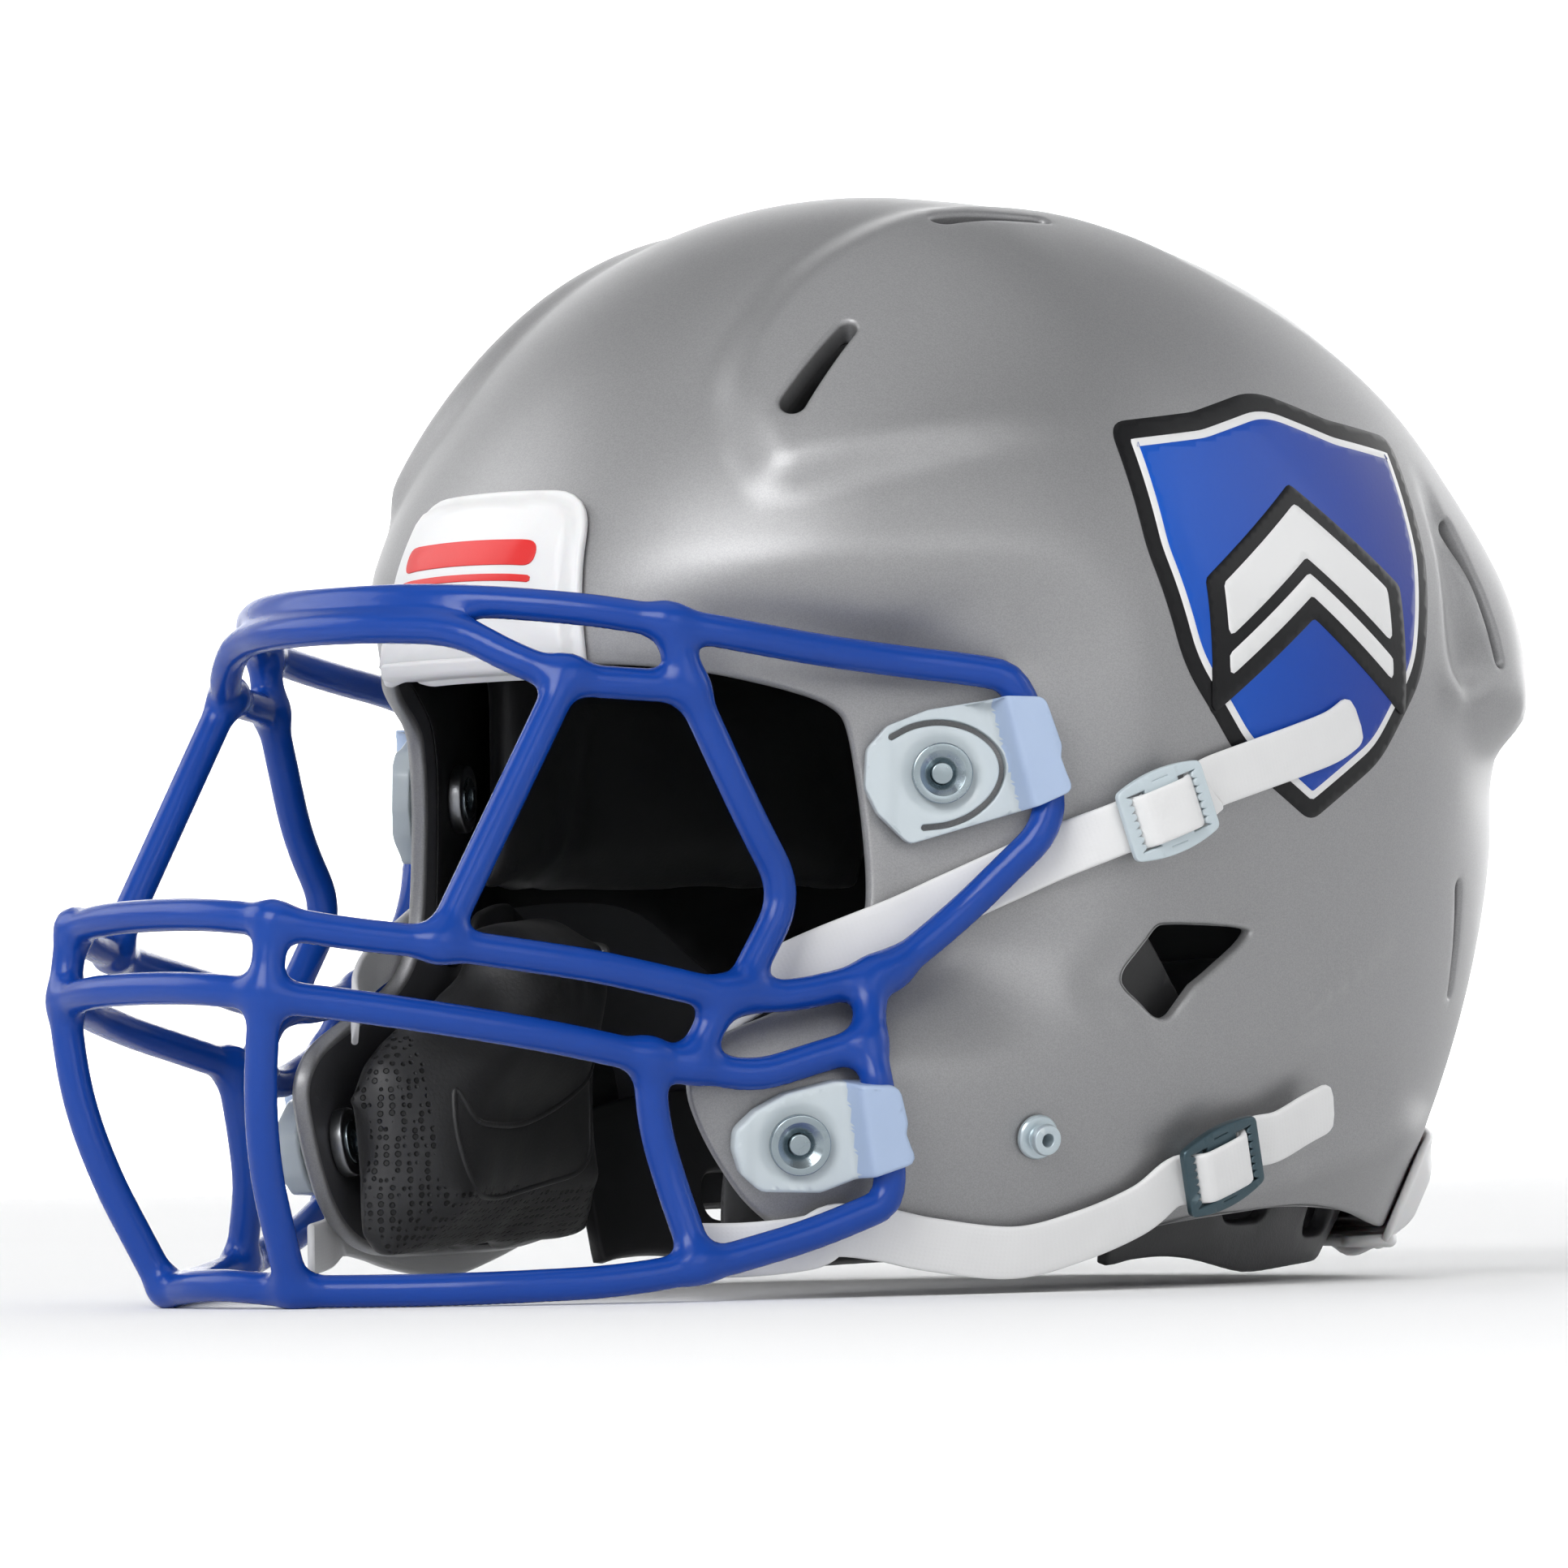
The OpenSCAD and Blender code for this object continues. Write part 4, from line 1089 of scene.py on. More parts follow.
def build_nut(name, place, radii, heights, corner, side):
    """A ring under the shell between two radii and two heights."""
    (r0, r1), (z0, z1) = radii, heights
    section = filleted([[r0, z0], [r1, z0], [r1, z1], [r0, z1]], corner, True, 3)
    obj = lathe(name, section, place, M_INNER, side, ring=True, n=24)
    return obj


def build_button(kind, at, side, tag):
    place = Place(at)
    t = CLIP_T
    ring = filleted([[PIN_R + 0.12, t - 0.35], [5.15, t + 1.75], [RING_R, t + 1.85], [RING_R, t - 0.35],
                     [5.0, t - 0.4], [5.0, -8], [PIN_R + 0.12, -8]],
                    [0.15, 0.25, 0.45, 0.2, 0.2, 0.4, 0.2], True, 4)
    obj = lathe(f"release_housing_{kind}_{tag}", ring, place, M_STEEL, side, ring=True)
    pin = filleted([[0, t + 1.0], [PIN_R, t + 1.0], [PIN_R, -1], [0, -1]], [0, 0.35, 0.3, 0], False, 5)
    pin_obj = lathe(f"pin_{kind}_{tag}", pin, place, M_STEEL, side, body=f"release_pin_body_{kind}_{tag}")
    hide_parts(f"release_pin_{kind}_{tag}")
    nut = build_nut(f"clip_nut_{kind}_{tag}", place, (5.05, 8), (-WALL - 0.6, -WALL - 3.6), 0.4, side)
    g = np.linspace(0, 2 * np.pi * SPRING_TURNS, 90)
    height = SPRING_FOOT + g / (2 * np.pi) * SPRING_PITCH
    coil = place.out(np.stack([SPRING_R * np.cos(g), SPRING_R * np.sin(g), height], 1))
    v, f = tube_mesh(coil, 0.28, 8)
    spring = make(f"pin_spring_{kind}_{tag}", v, by_size(f), M_INNER, side)
    return [obj, nut, spring]


def build_stud(name, at, side, holed):
    place = Place(at)
    if holed:
        profile = [[1.45, 1.2], [1.5, STUD_TOP], [3.3, STUD_TOP], [3.6, STUD_TOP - 1.0], [3.3, 3.4],
                   [2.7, 3.0], [2.8, 2.1], [4.6, 2.0], [5.0, 1.5], [5.0, 0.5], [2.0, 0.4], [2.0, -7.5],
                   [1.0, -7.5], [1.0, 1.2]]
        obj = lathe(name, filleted(profile, 0.22, True, 3), place, M_STUD, side, ring=True)
    else:
        profile = [[0, STUD_TOP + 0.1], [2.9, STUD_TOP], [3.6, STUD_TOP - 0.8], [3.3, 3.4], [2.7, 3.0],
                   [2.8, 2.1], [4.6, 2.0], [5.0, 1.5], [5.0, 0.5], [2.0, 0.4], [2.0, -7.5], [0, -7.5]]
        obj = lathe(name, filleted(profile, 0.22, False, 3), place, M_STUD, side)
    nut_name = name.replace("stud", "stud_nut")
    nut = build_nut(nut_name, place, (2.05, 4.4), (-WALL - 1.1, -WALL - 3.1), 0.3, side)
    return obj, nut


def build_fittings():
    housings, nuts, springs, studs, stud_nuts = [], [], [], [], []
    for tag, side in (("l", 1), ("r", -1)):
        build_clip(f"clip_upper_{tag}", UPPER_CLIP, UPPER_OUTLINE, UPPER_LOOP, 2.4, UPPER_GROOVE, side,
                   f"upper_clip_{tag}")
        build_clip(f"clip_lower_{tag}", LOWER_CLIP, LOWER_OUTLINE, LOWER_LOOP, 0.8, None, side,
                   f"lower_clip_{tag}")
        for kind, at in (("upper", UPPER_CLIP), ("lower", LOWER_CLIP)):
            h, n, s = build_button(kind, at, side, tag)
            housings.append(h)
            nuts.append(n)
            springs.append(s)
        for kind, at in (("high", HIGH_STUD), ("low", LOW_STUD)):
            s, n = build_stud(f"{kind}_stud_{tag}", at, side, False)
            studs.append(s)
            stud_nuts.append(n)
        s, n = build_stud(f"spare_stud_{tag}_look", SPARE_STUD, side, True)
        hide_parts(f"spare_stud_{tag}")
        stud_nuts.append(n)
    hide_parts("release_housings")
    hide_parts("clip_nuts")
    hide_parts("pin_springs")
    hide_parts("snap_studs")
    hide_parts("stud_nuts")


build_fittings()

# ---------------------------------------------------------------- buckles and straps

PLATE_Z, PLATE_T = 5.9, 1.8
TILT = {"high": 20, "low": 21}
STRAP_HALF, STRAP_T = 6.0, 1.6
LIE, RISE = 3.1, 9.1


def build_buckle(kind, at, side, tag, mat):
    place = Place(at, TILT[kind])
    n = 13
    x = np.linspace(-11.1, 11.1, n)
    bow = 9.3 - 1.7 * (x / 11.1) ** 2
    outline = np.vstack([np.column_stack([x, -bow]), np.column_stack([x, bow])[::-1]])
    outline = filleted(outline, [2.6 if i in (0, n - 1, n, 2 * n - 1) else 0.4 for i in range(2 * n)],
                       True, 6)
    windows = []
    for s in (-1, 1):
        teeth = []
        for k in range(-3, 4):
            teeth += [[9.7, k * 1.8 - 0.75], [8.5, k * 1.8 - 0.2], [8.5, k * 1.8 + 0.2],
                      [9.7, k * 1.8 + 0.75]]
        loop = np.array([[4.2, -6.9], [9.7, -6.9], *teeth, [9.7, 6.9], [4.2, 6.9]]) * [s, 1]
        windows.append(resample(loop, 0.45, True))
    for s in (-1, 1):
        windows.append(resample(filleted(np.array([[-2.6, 7.35], [2.6, 7.35], [2.2, 8.1],
                                                   [-2.2, 8.1]]) * [1, s], 0.3), 0.4, True))
    loops = [resample(outline, 0.6, True), *windows]

    def top(p):
        return place.out(np.column_stack([p, PLATE_Z + PLATE_T + 0.35 * (1 - (p[:, 0] / 11.5) ** 2)]))

    def bottom(p):
        return place.out(np.column_stack([p, np.full(len(p), PLATE_Z)]))

    obj = sheet(f"buckle_{kind}_{tag}", loops, np.zeros((0, 2)), top, bottom, 0.42, mat, side=side,
                body=f"{kind}_buckle_body_{tag}")
    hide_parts(f"{kind}_buckle_{tag}")
    ring = filleted([[3.75, PLATE_Z + 0.1], [5.2, PLATE_Z + 0.1], [5.2, 2.5], [3.75, 2.5]], 0.35, True, 4)
    cap = lathe(f"buckle_socket_{kind}_{tag}", ring, Place(at), mat, side,
                body=f"{kind}_buckle_body_{tag}", ring=True)


def stop(a, v, h):
    q = to_q(a, v)[None]
    return plain(q, h)[0], base_normal(q)[0]


def buckle_stop(at, tilt, x, h):
    place = Place(at)
    c, s = math.cos(math.radians(tilt)), math.sin(math.radians(tilt))
    return place.out([[x * c, x * s, h]])[0], place.n


def over_buckle(at, tilt):
    return [buckle_stop(at, tilt, x, h) for x, h in ((-13.2, 3.4), (-9.4, 4.2), (-7.6, 6.6), (-5.8, 8.7),
                                                     (-2.5, RISE), (2.5, RISE), (5.8, 8.7), (7.6, 6.6),
                                                     (9.4, 4.2), (13.2, 3.4))]


def strap(stops):
    """Flat webbing through the stops, with a rounded tail at its last one."""
    pts = np.array([s[0] for s in stops])
    nrm = np.array([s[1] for s in stops], float)
    rail = curve(np.hstack([pts, nrm]), n=10)
    rail = resample(rail, 1.0, False, rail[:, :3])
    p, n = rail[:, :3], unit(rail[:, 3:])
    t = unit(np.gradient(p, axis=0))
    n = unit(n - (n * t).sum(1, keepdims=True) * t)
    side = np.cross(n, t)
    run = np.concatenate([[0], np.cumsum(np.linalg.norm(np.diff(p, axis=0), axis=1))])
    left = run[-1] - run
    corner_r = 3.4
    cut = np.where(left < corner_r,
                   corner_r - np.sqrt(np.maximum(0, corner_r**2 - (corner_r - left) ** 2)), 0)
    half = STRAP_HALF - cut
    thick = STRAP_T / 2 * np.where(left < 0.8, 0.55 + 0.45 * left / 0.8, 1)
    edge = [(math.cos(g), math.sin(g)) for g in np.linspace(-math.pi / 2, math.pi / 2, 7)]
    inner = np.linspace(-1, 1, 7)[1:-1]
    verts, uv = [], []
    for i in range(len(p)):
        w, h = half[i] - thick[i], thick[i]
        ring = [(w + h * c, h * s) for c, s in edge]
        ring += [(-x * w, h) for x in inner]
        ring += [(-w - h * c, -h * s) for c, s in edge]
        ring += [(x * w, -h) for x in inner]
        verts += [(p[i] + x * side[i] + z * n[i]).tolist() for x, z in ring]
        uv += [(run[i], x) for x, z in ring]
    m = len(verts) // len(p)
    quads = [[i * m + k, i * m + (k + 1) % m, (i + 1) * m + (k + 1) % m, (i + 1) * m + k]
             for i in range(len(p) - 1) for k in range(m)]
    ends = []
    for i, flip in ((0, False), (len(p) - 1, True)):
        centre = len(verts)
        verts.append(p[i].tolist())
        uv.append((run[i], 0))
        for k in range(m):
            a, b = i * m + k, i * m + (k + 1) % m
            ends.append([centre, a, b] if flip else [centre, b, a])
    return verts, quads, ends, uv


def build_strap(kind, at, stops, side, tag, start_stop):
    verts, quads, ends, uv = strap(stops)
    name = f"strap_{kind}_{tag}"
    obj = make(name, verts, [quads, ends], M_WEB, side, body=None)
    layer = obj.data.uv_layers.new(name="along")
    index = np.zeros(len(obj.data.loops), np.int32)
    obj.data.loops.foreach_get("vertex_index", index)
    layer.data.foreach_set("uv", np.array(uv)[index].astype(np.float32).ravel())
    flip = np.array([side, 1, 1]) * MM
    end = buckle_stop(at, TILT[kind], -14.5, 3.4)[0] * flip
    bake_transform(obj)
    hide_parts(f"{kind}_strap_{tag}", f"{kind}_strap_tail_{tag}")


def build_straps():
    high_front = [
        (np.array([61.5, -78, 63]), [0.75, -0.62, 0.2]), (np.array([70, -71, 69.5]), [0.8, -0.58, 0.15]),
        (np.array([77.5, -60, 75.5]), [0.86, -0.5, 0.1]), stop(-29, 1.338, LIE), stop(-24.5, 1.3, LIE),
        stop(-20, 1.255, LIE), stop(-16, 1.213, LIE)]
    high_tail = [stop(-1, 1.09, LIE), stop(3, 1.058, LIE), stop(7, 1.03, LIE), stop(11, 1.002, LIE),
                 stop(14, 0.98, LIE)]
    low_front = [
        (np.array([65, -89.5, 11]), [0.72, -0.69, 0]), (np.array([75.5, -80.5, 11]), [0.78, -0.62, 0]),
        (np.array([82.8, -69.5, 12.3]), [0.82, -0.57, 0]), stop(-35.5, 1.876, LIE), stop(-31, 1.885, LIE),
        stop(-26, 1.905, LIE), stop(-18, 1.922, LIE), stop(-11.5, 1.896, LIE), stop(-5.5, 1.852, LIE)]
    low_tail = [stop(8.5, 1.725, LIE), stop(12, 1.695, LIE), stop(15.5, 1.67, LIE)]
    for tag, side in (("l", 1), ("r", -1)):
        build_buckle("high", HIGH_STUD, side, tag, M_PALE)
        build_buckle("low", LOW_STUD, side, tag, M_DARK)
        build_strap("high", HIGH_STUD, high_front + over_buckle(HIGH_STUD, TILT["high"]) + high_tail,
                    side, tag, high_front[4])
        build_strap("low", LOW_STUD, low_front + over_buckle(LOW_STUD, TILT["low"]) + low_tail, side, tag,
                    low_front[6])


build_straps()

# ---------------------------------------------------------------- bumpers and marks


def rim_distance(points, loop, step=1.0):
    """Distance in millimetres from flat disc points to a loop, both measured on the shell."""
    ring = disc_curve(loop, step)
    tree = KDTree(len(ring))
    for i, p in enumerate(base(ring)):
        tree.insert(p, i)
    tree.balance()
    return np.array([tree.find(p)[2] for p in base(points).tolist()])


def fine_grid(loop, spacing):
    """Even disc points inside a small loop."""
    lo, hi = loop.min(0), loop.max(0)
    step = spacing / 128
    xs, ys = np.meshgrid(np.arange(lo[0], hi[0], step), np.arange(lo[1], hi[1], step * 0.87))
    xs[1::2] += step / 2
    grid = np.stack([xs.ravel(), ys.ravel()], 1)
    return grid[inside(grid, loop)]


def sweep(verts, quads, tris, centres, xs, ys, section):
    """Adds a swept solid: section points are [x, y] in each station's own frame."""
    m, k = len(section), len(verts)
    for c, x, y, (scale, sec) in zip(centres, xs, ys, section_list(section, len(centres))):
        verts += (c + scale * sec[:, :1] * x + scale * sec[:, 1:] * y).tolist()
    for i in range(len(centres) - 1):
        for j in range(m):
            a, b = k + i * m + j, k + i * m + (j + 1) % m
            quads.append([a, b, b + m, a + m])
    for i, flip in ((0, True), (len(centres) - 1, False)):
        c = len(verts)
        verts.append(np.mean(verts[k + i * m:k + (i + 1) * m], 0).tolist())
        for j in range(m):
            a, b = k + i * m + j, k + i * m + (j + 1) % m
            tris.append([c, b, a] if flip else [c, a, b])


def section_list(section, n):
    """The section at each station, smaller over the last few so that the ends are rounded."""
    out = []
    for i in range(n):
        e = min(i, n - 1 - i)
        out.append((1 - 0.28 * (1 - min(e, 3) / 3) ** 2, section))
    return out


def bumper_outline(place, points, radii):
    flat = resample(filleted(points, radii), 1.2, True)
    return place.q(flat)


FRONT_PLATE = Place([-90, 0.82])
FRONT_OUTLINE = [[-33.5, -19], [33.5, -19], [27.5, 21.5], [-27.5, 21.5]]
BUMPER_RISE = 6.3


def front_lift(q, loop):
    d = rim_distance(q, loop)
    return 2.6 + 1.9 * smooth((d - 1.6) / 1.2) + (BUMPER_RISE - 4.6) * smooth(d / 16)


def build_lip(name, span, n, v, section, radii):
    """A lip of even section that runs level along the shell between two plan angles."""
    q = to_q(np.linspace(*span, n), np.full(n, v))
    out = unit(base_normal(q) * [1, 1, 0])
    up = np.repeat([[0, 0, 1.0]], n, 0)
    section = resample(filleted(section, radii, True, 5), 0.7, True)
    verts, quads, tris = [], [], []
    sweep(verts, quads, tris, base(q), out, up, ccw(section)[::-1])
    make(name, verts, [quads, tris], M_BUMPER)


def build_front_bumper():
    loop = bumper_outline(FRONT_PLATE, FRONT_OUTLINE, [3, 3, 11, 11])
    top = lambda q: plain(q, front_lift(q, loop))
    obj = skin("front_bumper", [loop], top, lambda q: plain(q, 0.3), 0.9, M_BUMPER,
               grid=fine_grid(loop, 1.3), gap=0.7)
    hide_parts("front_bumper")
    section = [[5.6, 2.6], [-8.6, 2.2], [-8.6, -2.6], [-6.4, -2.6], [-5.6, -1.4], [2.4, -1.7], [5.4, -1.2]]
    build_lip("front_bumper_lip", (-107.5, -72.5), 60, q_level(141.2), section,
              [1.2, 1.2, 1, 0.8, 0.8, 1.5, 1.4])
    for k, (x0, x1, y0, y1) in enumerate(((-21, 21, 3.0, 8.6), (-21, 21, -0.6, 0.8))):
        r = (y1 - y0) / 2 * 0.98
        bar = FRONT_PLATE.q(resample(filleted([[x0, y0], [x1, y0], [x1, y1], [x0, y1]], r), 0.7, True))
        mark = skin(f"bumper_bar_{k}", [bar], lambda q: plain(q, front_lift(q, loop) + 0.25),
                    lambda q: plain(q, front_lift(q, loop) - 0.4), 0.1, M_RED, grid=fine_grid(bar, 1.2),
                    gap=0.6)


def build_rear_bumper():
    half = to_q(np.array([90, 75, 60, 50, 46.5, 46.5, 50, 60, 75, 90.0]),
                np.array([1.71, 1.712, 1.722, 1.74, 1.775, 1.88, 1.925, 1.935, 1.935, 1.935]))
    loop = disc_curve(curve(np.vstack([half[1:-1], half[1:-1][::-1] * [-1, 1]]), True, 8), 1.3)

    def top(q):
        d = rim_distance(q, loop)
        return plain(q, 2.6 + 3.0 * smooth(d / 9))

    obj = skin("rear_bumper", [loop], top, lambda q: plain(q, 0.8), 0.8, M_BUMPER,
               grid=fine_grid(loop, 1.8), gap=0.9)
    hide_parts("rear_bumper")
    section = [[4.6, 1.8], [-8.4, 1.2], [-8.4, -1.6], [3.6, -1.8], [4.8, -0.8]]
    build_lip("rear_bumper_lip", (49, 131), 90, 1.931, section, [1, 1, 1, 1.2, 1])


build_front_bumper()
build_rear_bumper()

# A plain shield with two chevrons, as [Y, Z] from its middle in a side view.
BADGE_AT = np.array([58, 152.5])
SHIELD = [[-50, 40], [-24, 43], [0, 49], [24, 43], [50, 40], [49, 12], [42, -14], [25, -34], [0, -48],
          [-25, -34], [-42, -14], [-49, 12]]


def shrunk(loop, d):
    loop = ccw(resample(loop, 1.0, True))
    t = unit(np.roll(loop, -1, 0) - np.roll(loop, 1, 0))
    return loop - d * np.stack([t[:, 1], -t[:, 0]], 1)


def chevron(top, thick, half, drop):
    """A V the other way up, cut off at half its width, thick measured down."""
    return [[-half, top - drop], [0, top], [half, top - drop], [half, top - drop - thick], [0, top - thick],
            [-half, top - drop - thick]]


def rounded(loop, r):
    """A badge outline with its corners rounded by r, in 1 mm steps."""
    return resample(filleted(loop, r), 1.0, True)


def build_badge():
    outline = filleted(SHIELD, [5, 30, 30, 30, 5, 30, 30, 30, 6, 30, 30, 30])
    parts = [
        ("badge_edge", shrunk(outline, 0), M_BLACK, 0.14),
        ("badge_line", shrunk(outline, 4.2), M_WHITE, 0.26),
        ("badge_field", shrunk(outline, 6.0), M_BLUE, 0.38),
        ("badge_chevron_edge", rounded(chevron(27.5, 30, 34, 22), 1.5), M_BLACK, 0.50),
        ("badge_chevron", rounded(chevron(23, 12, 28.5, 18.4), 1.2), M_WHITE, 0.62),
        ("badge_chevron_low", rounded(chevron(7.5, 5, 28.5, 18.4), 0.8), M_WHITE, 0.62),
    ]
    grid = disc_grid(1.6)
    for name, yz, mat, height in parts:
        loop = disc_curve(q_of_side(yz + BADGE_AT), 1.2)
        for tag, side in (("l", 1), ("r", -1)):
            obj = skin(f"{name}_{tag}", [loop], lambda q, h=height: outer(q, h),
                       lambda q: outer(q, -0.3), 0.03, mat, grid=grid, gap=0.8, steps=1, side=side)


build_badge()

# ---------------------------------------------------------------- liner, pads and neck frame


def build_liner():
    """Black lining over the inside of the shell, down to the cheeks."""
    edge = [[-88, 147.5], [-73, 145], [-60, 141], [-48, 135], [-43, 127], [-41.5, 110], [-41, 92],
            [-40, 80], [-30, 77], [-14, 84], [8, 90], [46, 90], [70, 74], [95, 60], [125, 52], [148, 50]]
    q = q_of_side(curve(edge, n=8))
    ang = np.degrees(np.arctan2(q[:, 1], q[:, 0]))
    q = q[(ang > -87) & (ang < 87)]
    half = np.vstack([to_q(-90, q_level(148)), q, to_q(90, q_level(50))])
    loops = [disc_curve(np.vstack([half, half[1:-1][::-1] * [-1, 1]]), 4.0)]
    for at, turn, length, width, taper in VENTS[:3]:
        loops += both(disc_curve(Place(at, turn).q(slot_loop(length, width, taper)), 1.1))
    grid = disc_grid(6.0)
    obj = skin("liner", loops, lambda q: plain(q, -WALL - 0.15), lambda q: plain(q, -WALL - 0.75), 0.25,
               M_LINER, grid=grid, gap=3.0, steps=1)
    return obj


def build_vent_sleeves():
    """Short painted walls that line each upper vent down through the liner."""
    for k, (at, turn, length, width, taper) in enumerate(VENTS[:3]):
        hole = Place(at, turn).q(slot_loop(length, width, taper))
        hole = ccw(disc_curve(hole, 1.1))
        n = len(hole)
        rows = [plain(hole, -1.2), plain(hole, -11), plain(hole, -11), plain(hole, -1.2)]
        p = rows[0]
        tangent = unit(np.roll(p, -1, 0) - np.roll(p, 1, 0))
        away = unit(np.cross(tangent, base_normal(hole)))
        rows[2] = rows[2] + 0.9 * away
        rows[3] = rows[3] + 0.9 * away
        rows[0] = rows[0] + 0.2 * away
        rows[1] = rows[1] + 0.2 * away
        i = np.arange(n)
        j = (i + 1) % n
        pairs = ((0, 1), (1, 2), (2, 3), (3, 0))
        quads = [np.stack([a * n + i, b * n + i, b * n + j, a * n + j], 1) for a, b in pairs]
        for tag, side in (("l", 1), ("r", -1)):
            obj = make(f"vent_sleeve_{k + 1}_{tag}", np.vstack(rows), [np.vstack(quads)], M_PAINT, side)


def build_cheek_flange():
    """A thin black flange behind each jaw pad that runs in behind the ear hole."""
    edge = [[-34, 88], [-6, 90], [5, 86], [15, 77], [25, 65], [32, 52], [33, 38], [20, 27], [-34, 22]]
    loop = disc_curve(q_of_side(filleted(edge, 6)), 2.0)
    for tag, side in (("l", 1), ("r", -1)):
        obj = skin(f"cheek_flange_{tag}", [loop], lambda q: plain(q, -8.7), lambda q: plain(q, -10.6),
                   0.8, M_PAD, grid=disc_grid(4.0), gap=2.0, steps=3, side=side)


def build_neck_frame():
    a = np.array([-3, 20, 45, 70, 90.0])
    low = to_q(a, np.array([1.975, 2, 2, 2, 2]))
    high = to_q(a, np.array([1.70, 1.645, 1.625, 1.62, 1.62]))
    right = np.vstack([low[:-1], low[-1:], ])
    half_low, half_high = curve(right, n=10), curve(high, n=10)
    loop = np.vstack([half_low, (half_low[:-1] * [-1, 1])[::-1], half_high * [-1, 1], half_high[:-1][::-1]])
    loops = [disc_curve(loop, 1.8)]
    for at, length, width in (([14, 1.86], 22, 15), ([34, 1.885], 24, 19), ([57, 1.895], 22, 19)):
        hole = Place(at).q(resample(filleted([[-length / 2, -width / 2], [length / 2, -width / 2],
                                              [length / 2, width / 2], [-length / 2, width / 2]], 7),
                                    1.2, True))
        loops += both(hole)
    obj = skin("neck_frame_look", loops, lambda q: plain(q, -10.5), lambda q: plain(q, -14.8), 1.1, M_FRAME,
               grid=disc_grid(4.0), gap=2.0, steps=3)
    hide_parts("neck_frame")


HEAD = np.array([0, 24, 110.0])
# How far each pad may swell, in millimetres, and how full it is.
PADS = {
    "jaw_pad_l": (7, 0.8), "jaw_pad_r": (7, 0.8), "side_pad_l": (5, 0.7), "side_pad_r": (5, 0.7),
    "front_pad": (4, 0.7), "crown_pads": (4, 0.75), "back_pad": (5, 0.7), "neck_pad": (5, 0.7),
}
SIM_FRAMES = 20


def swell(objs):
    """Puffs the pads with one short cloth run, keeping their outer faces where they are."""
    before = {o.name: coords(o.data).copy() for o in objs}
    for o in objs:
        cloth = o.modifiers.new("cloth", "CLOTH")
        cloth.settings.use_pressure = True
        cloth.settings.uniform_pressure_force = 4
        cloth.settings.effector_weights.gravity = 0
        cloth.settings.quality = 5
        cloth.settings.tension_stiffness = 12
        cloth.settings.compression_stiffness = 12
    for f in range(1, SIM_FRAMES + 1):
        scene.frame_set(f)
    for o in objs:
        baked(o)
        now, old = coords(o.data), before[o.name]
        move = now - old
        cap = PADS[o.name[:-5]][0] * MM
        size = np.linalg.norm(move, axis=1, keepdims=True)
        move = move * np.minimum(1, cap / np.maximum(size, 1e-9))
        out = unit(old / MM - HEAD)
        away = np.maximum((move * out).sum(1, keepdims=True), 0)
        set_coords(o.data, old + move - away * out)
    scene.frame_set(1)


def build_pads():
    objs = []
    for node in PADS:
        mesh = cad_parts[node].data.copy()
        obj = bpy.data.objects.new(node + "_soft", mesh)
        scene.collection.objects.link(obj)
        mod = obj.modifiers.new("even", "REMESH")
        mod.mode = "VOXEL"
        mod.voxel_size = 0.0045
        baked(obj)
        objs.append(obj)
    swell(objs)
    for obj in objs:
        node = obj.name[:-5]
        mod = obj.modifiers.new("soften", "SMOOTH")
        mod.iterations = 3
        mod.factor = 0.5
        mod = obj.modifiers.new("fine", "SUBSURF")
        mod.levels = 1
        baked(obj)
        obj.data.materials.clear()
        obj.data.materials.append(M_PAD)
        obj.data.polygons.foreach_set("use_smooth", np.ones(len(obj.data.polygons), bool))
        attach(obj, BODY)
        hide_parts(node)
    return {o.name[:-5]: o for o in objs}


def on_pad(tree, q, sink):
    """Points on the head side of a pad under disc points q, sink outwards from its face."""
    p, n = plain(q, -60), base_normal(q)
    out = []
    for a, d in zip(p, n):
        hit = tree.ray_cast(Vector((a * MM).tolist()), Vector(d.tolist()))
        out.append(np.array(hit[0]) / MM + d * sink if hit[0] else None)
    return out


def build_pad_trim(pads):
    """Piping round the face of each jaw pad and a perforated band along its front."""
    for tag, side in (("l", 1), ("r", -1)):
        mesh = pads[f"jaw_pad_{tag}"].data
        co = coords(mesh) * [side, 1, 1]
        polys = [tuple(p.vertices) for p in mesh.polygons]
        if side < 0:
            polys = [p[::-1] for p in polys]
        tree = BVHTree.FromPolygons([Vector(c) for c in co.tolist()], polys)
        mesh.materials.append(M_MESH)
        for poly in mesh.polygons:
            n = Vector((poly.normal.x * side, poly.normal.y, poly.normal.z))
            at = Vector((poly.center.x * side, poly.center.y, poly.center.z)) / MM
            facing = abs(n.dot((at - Vector(HEAD)).normalized()))
            if facing < 0.5 and (at.y < -62 or at.z < 24) and at.z < 72:
                poly.material_index = 1
        ring = to_q(*np.array([[-38.5, 1.565], [-29, 1.52], [-17, 1.50], [-12.5, 1.57], [-12, 1.72],
                               [-15, 1.84], [-28, 1.87], [-38, 1.85], [-41, 1.72]]).T)
        line = [p for p in on_pad(tree, disc_curve(curve(ring, True, 8), 1.2), 0.2) if p is not None]
        line = np.array(line)
        for _ in range(4):
            line = 0.5 * line + 0.25 * (np.roll(line, 1, 0) + np.roll(line, -1, 0))
        line = np.vstack([line, line[:2]])
        v, f = tube_mesh(line, 0.75, 8)
        obj = make(f"jaw_piping_{tag}", v, by_size(f), M_PAD, side)


build_liner()
build_vent_sleeves()
build_cheek_flange()
build_neck_frame()
PAD_OBJECTS = build_pads()
build_pad_trim(PAD_OBJECTS)

# ---------------------------------------------------------------- stage and light


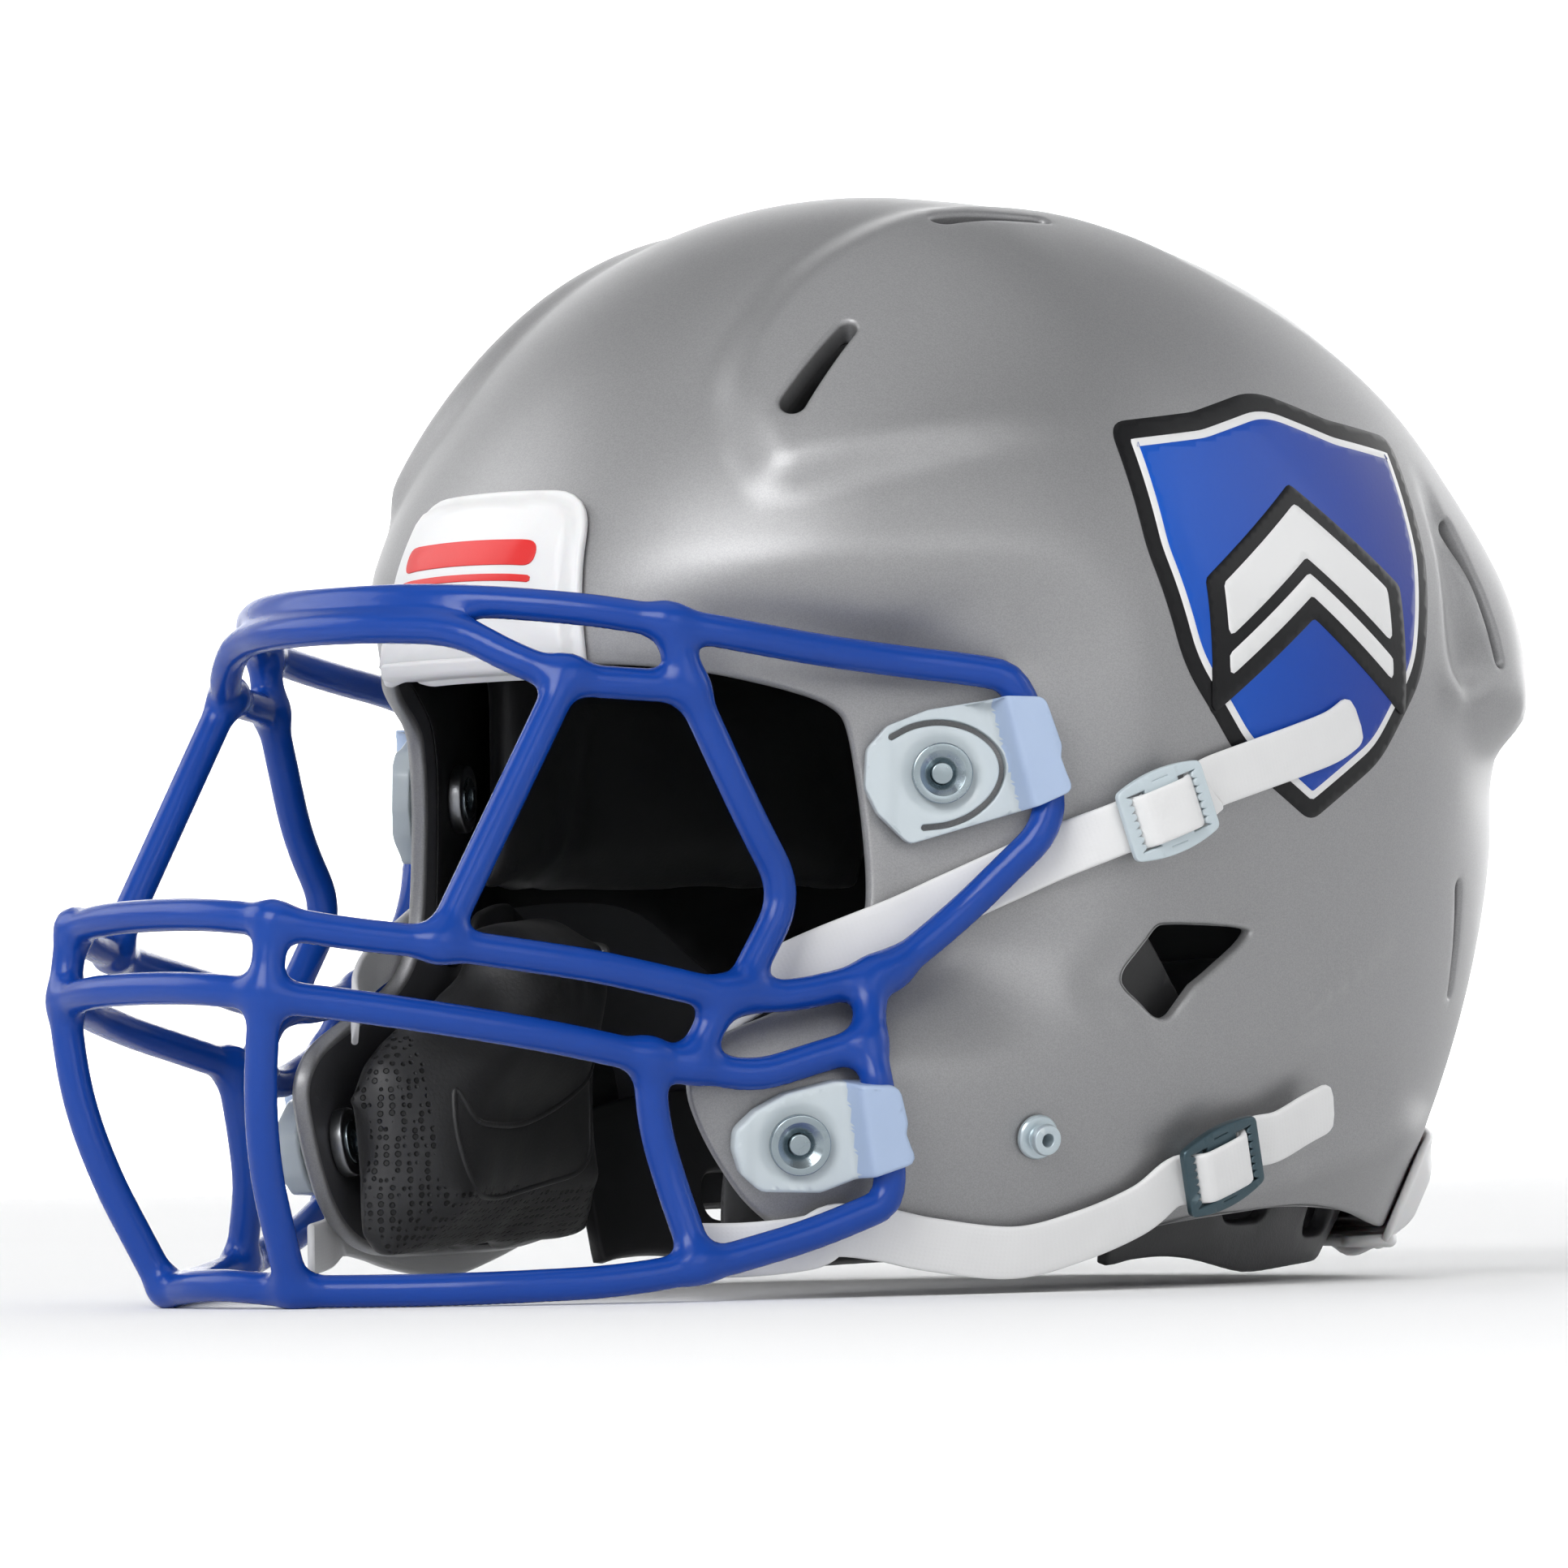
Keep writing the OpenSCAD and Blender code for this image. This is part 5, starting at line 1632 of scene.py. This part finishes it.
def stage():
    """A pale round floor that sweeps up all round, with no edge in view."""
    profile = [(0, 0), (1.2, 0), (2.4, 0), (3.1, 0), (3.6, 0.08), (4.0, 0.3), (4.25, 0.7), (4.35, 1.3),
               (4.4, 3.4)]
    profile = curve(profile, n=6)
    n = 96
    g = np.linspace(0, 2 * np.pi, n, endpoint=False)
    verts, faces = [[0, 0, 0]], []
    for r, z in profile[1:]:
        verts += [[r * math.cos(t), r * math.sin(t), max(z, 0)] for t in g]
    faces += [[0, 1 + k, 1 + (k + 1) % n] for k in range(n)]
    for i in range(len(profile) - 2):
        a, b = 1 + i * n, 1 + (i + 1) * n
        faces += [[a + k, b + k, b + (k + 1) % n, a + (k + 1) % n] for k in range(n)]
    mesh = bpy.data.meshes.new("floor")
    mesh.from_pydata(verts, [], faces)
    mesh.polygons.foreach_set("use_smooth", np.ones(len(mesh.polygons), bool))
    mesh.materials.append(material("floor", (0.94, 0.94, 0.94), (0.92, 0.92, 0.92), rough=0.85, scale=3,
                                   grain=60, bump=0.02))
    floor = bpy.data.objects.new("floor", mesh)
    scene.collection.objects.link(floor)


def lamp(name, at, size, power, target=(0, 0, 0.13), colour=(1, 1, 1)):
    data = bpy.data.lights.new(name, "AREA")
    data.shape = "RECTANGLE"
    data.size, data.size_y = size
    data.energy = power
    data.color = colour
    obj = bpy.data.objects.new(name, data)
    obj.location = at
    obj.rotation_euler = (Vector(target) - Vector(at)).to_track_quat("-Z", "Y").to_euler()
    obj.visible_camera = False
    scene.collection.objects.link(obj)


def light():
    scene.view_settings.view_transform = "Standard"
    world = bpy.data.worlds.new("studio")
    world.use_nodes = True
    world.node_tree.nodes["Background"].inputs["Color"].default_value = (0.9, 0.92, 0.95, 1)
    world.node_tree.nodes["Background"].inputs["Strength"].default_value = 0.27
    scene.world = world
    lamp("key", (0.9, -2.5, 1.7), (1.8, 1.4), 50)
    lamp("side", (-2.4, -1.4, 1.7), (2.0, 1.8), 22)
    lamp("fill", (2.6, -0.9, 1.2), (1.6, 1.6), 8)
    lamp("rim", (1.6, 2.4, 1.6), (1.2, 1.2), 5)
    lamp("wall", (-1.4, 1.9, 1.0), (2.4, 1.4), 110, target=(-2.8, 4.0, 0.9))
    lamp("top", (0, 0, 2.6), (2.4, 2.4), 9)


stage()
light()
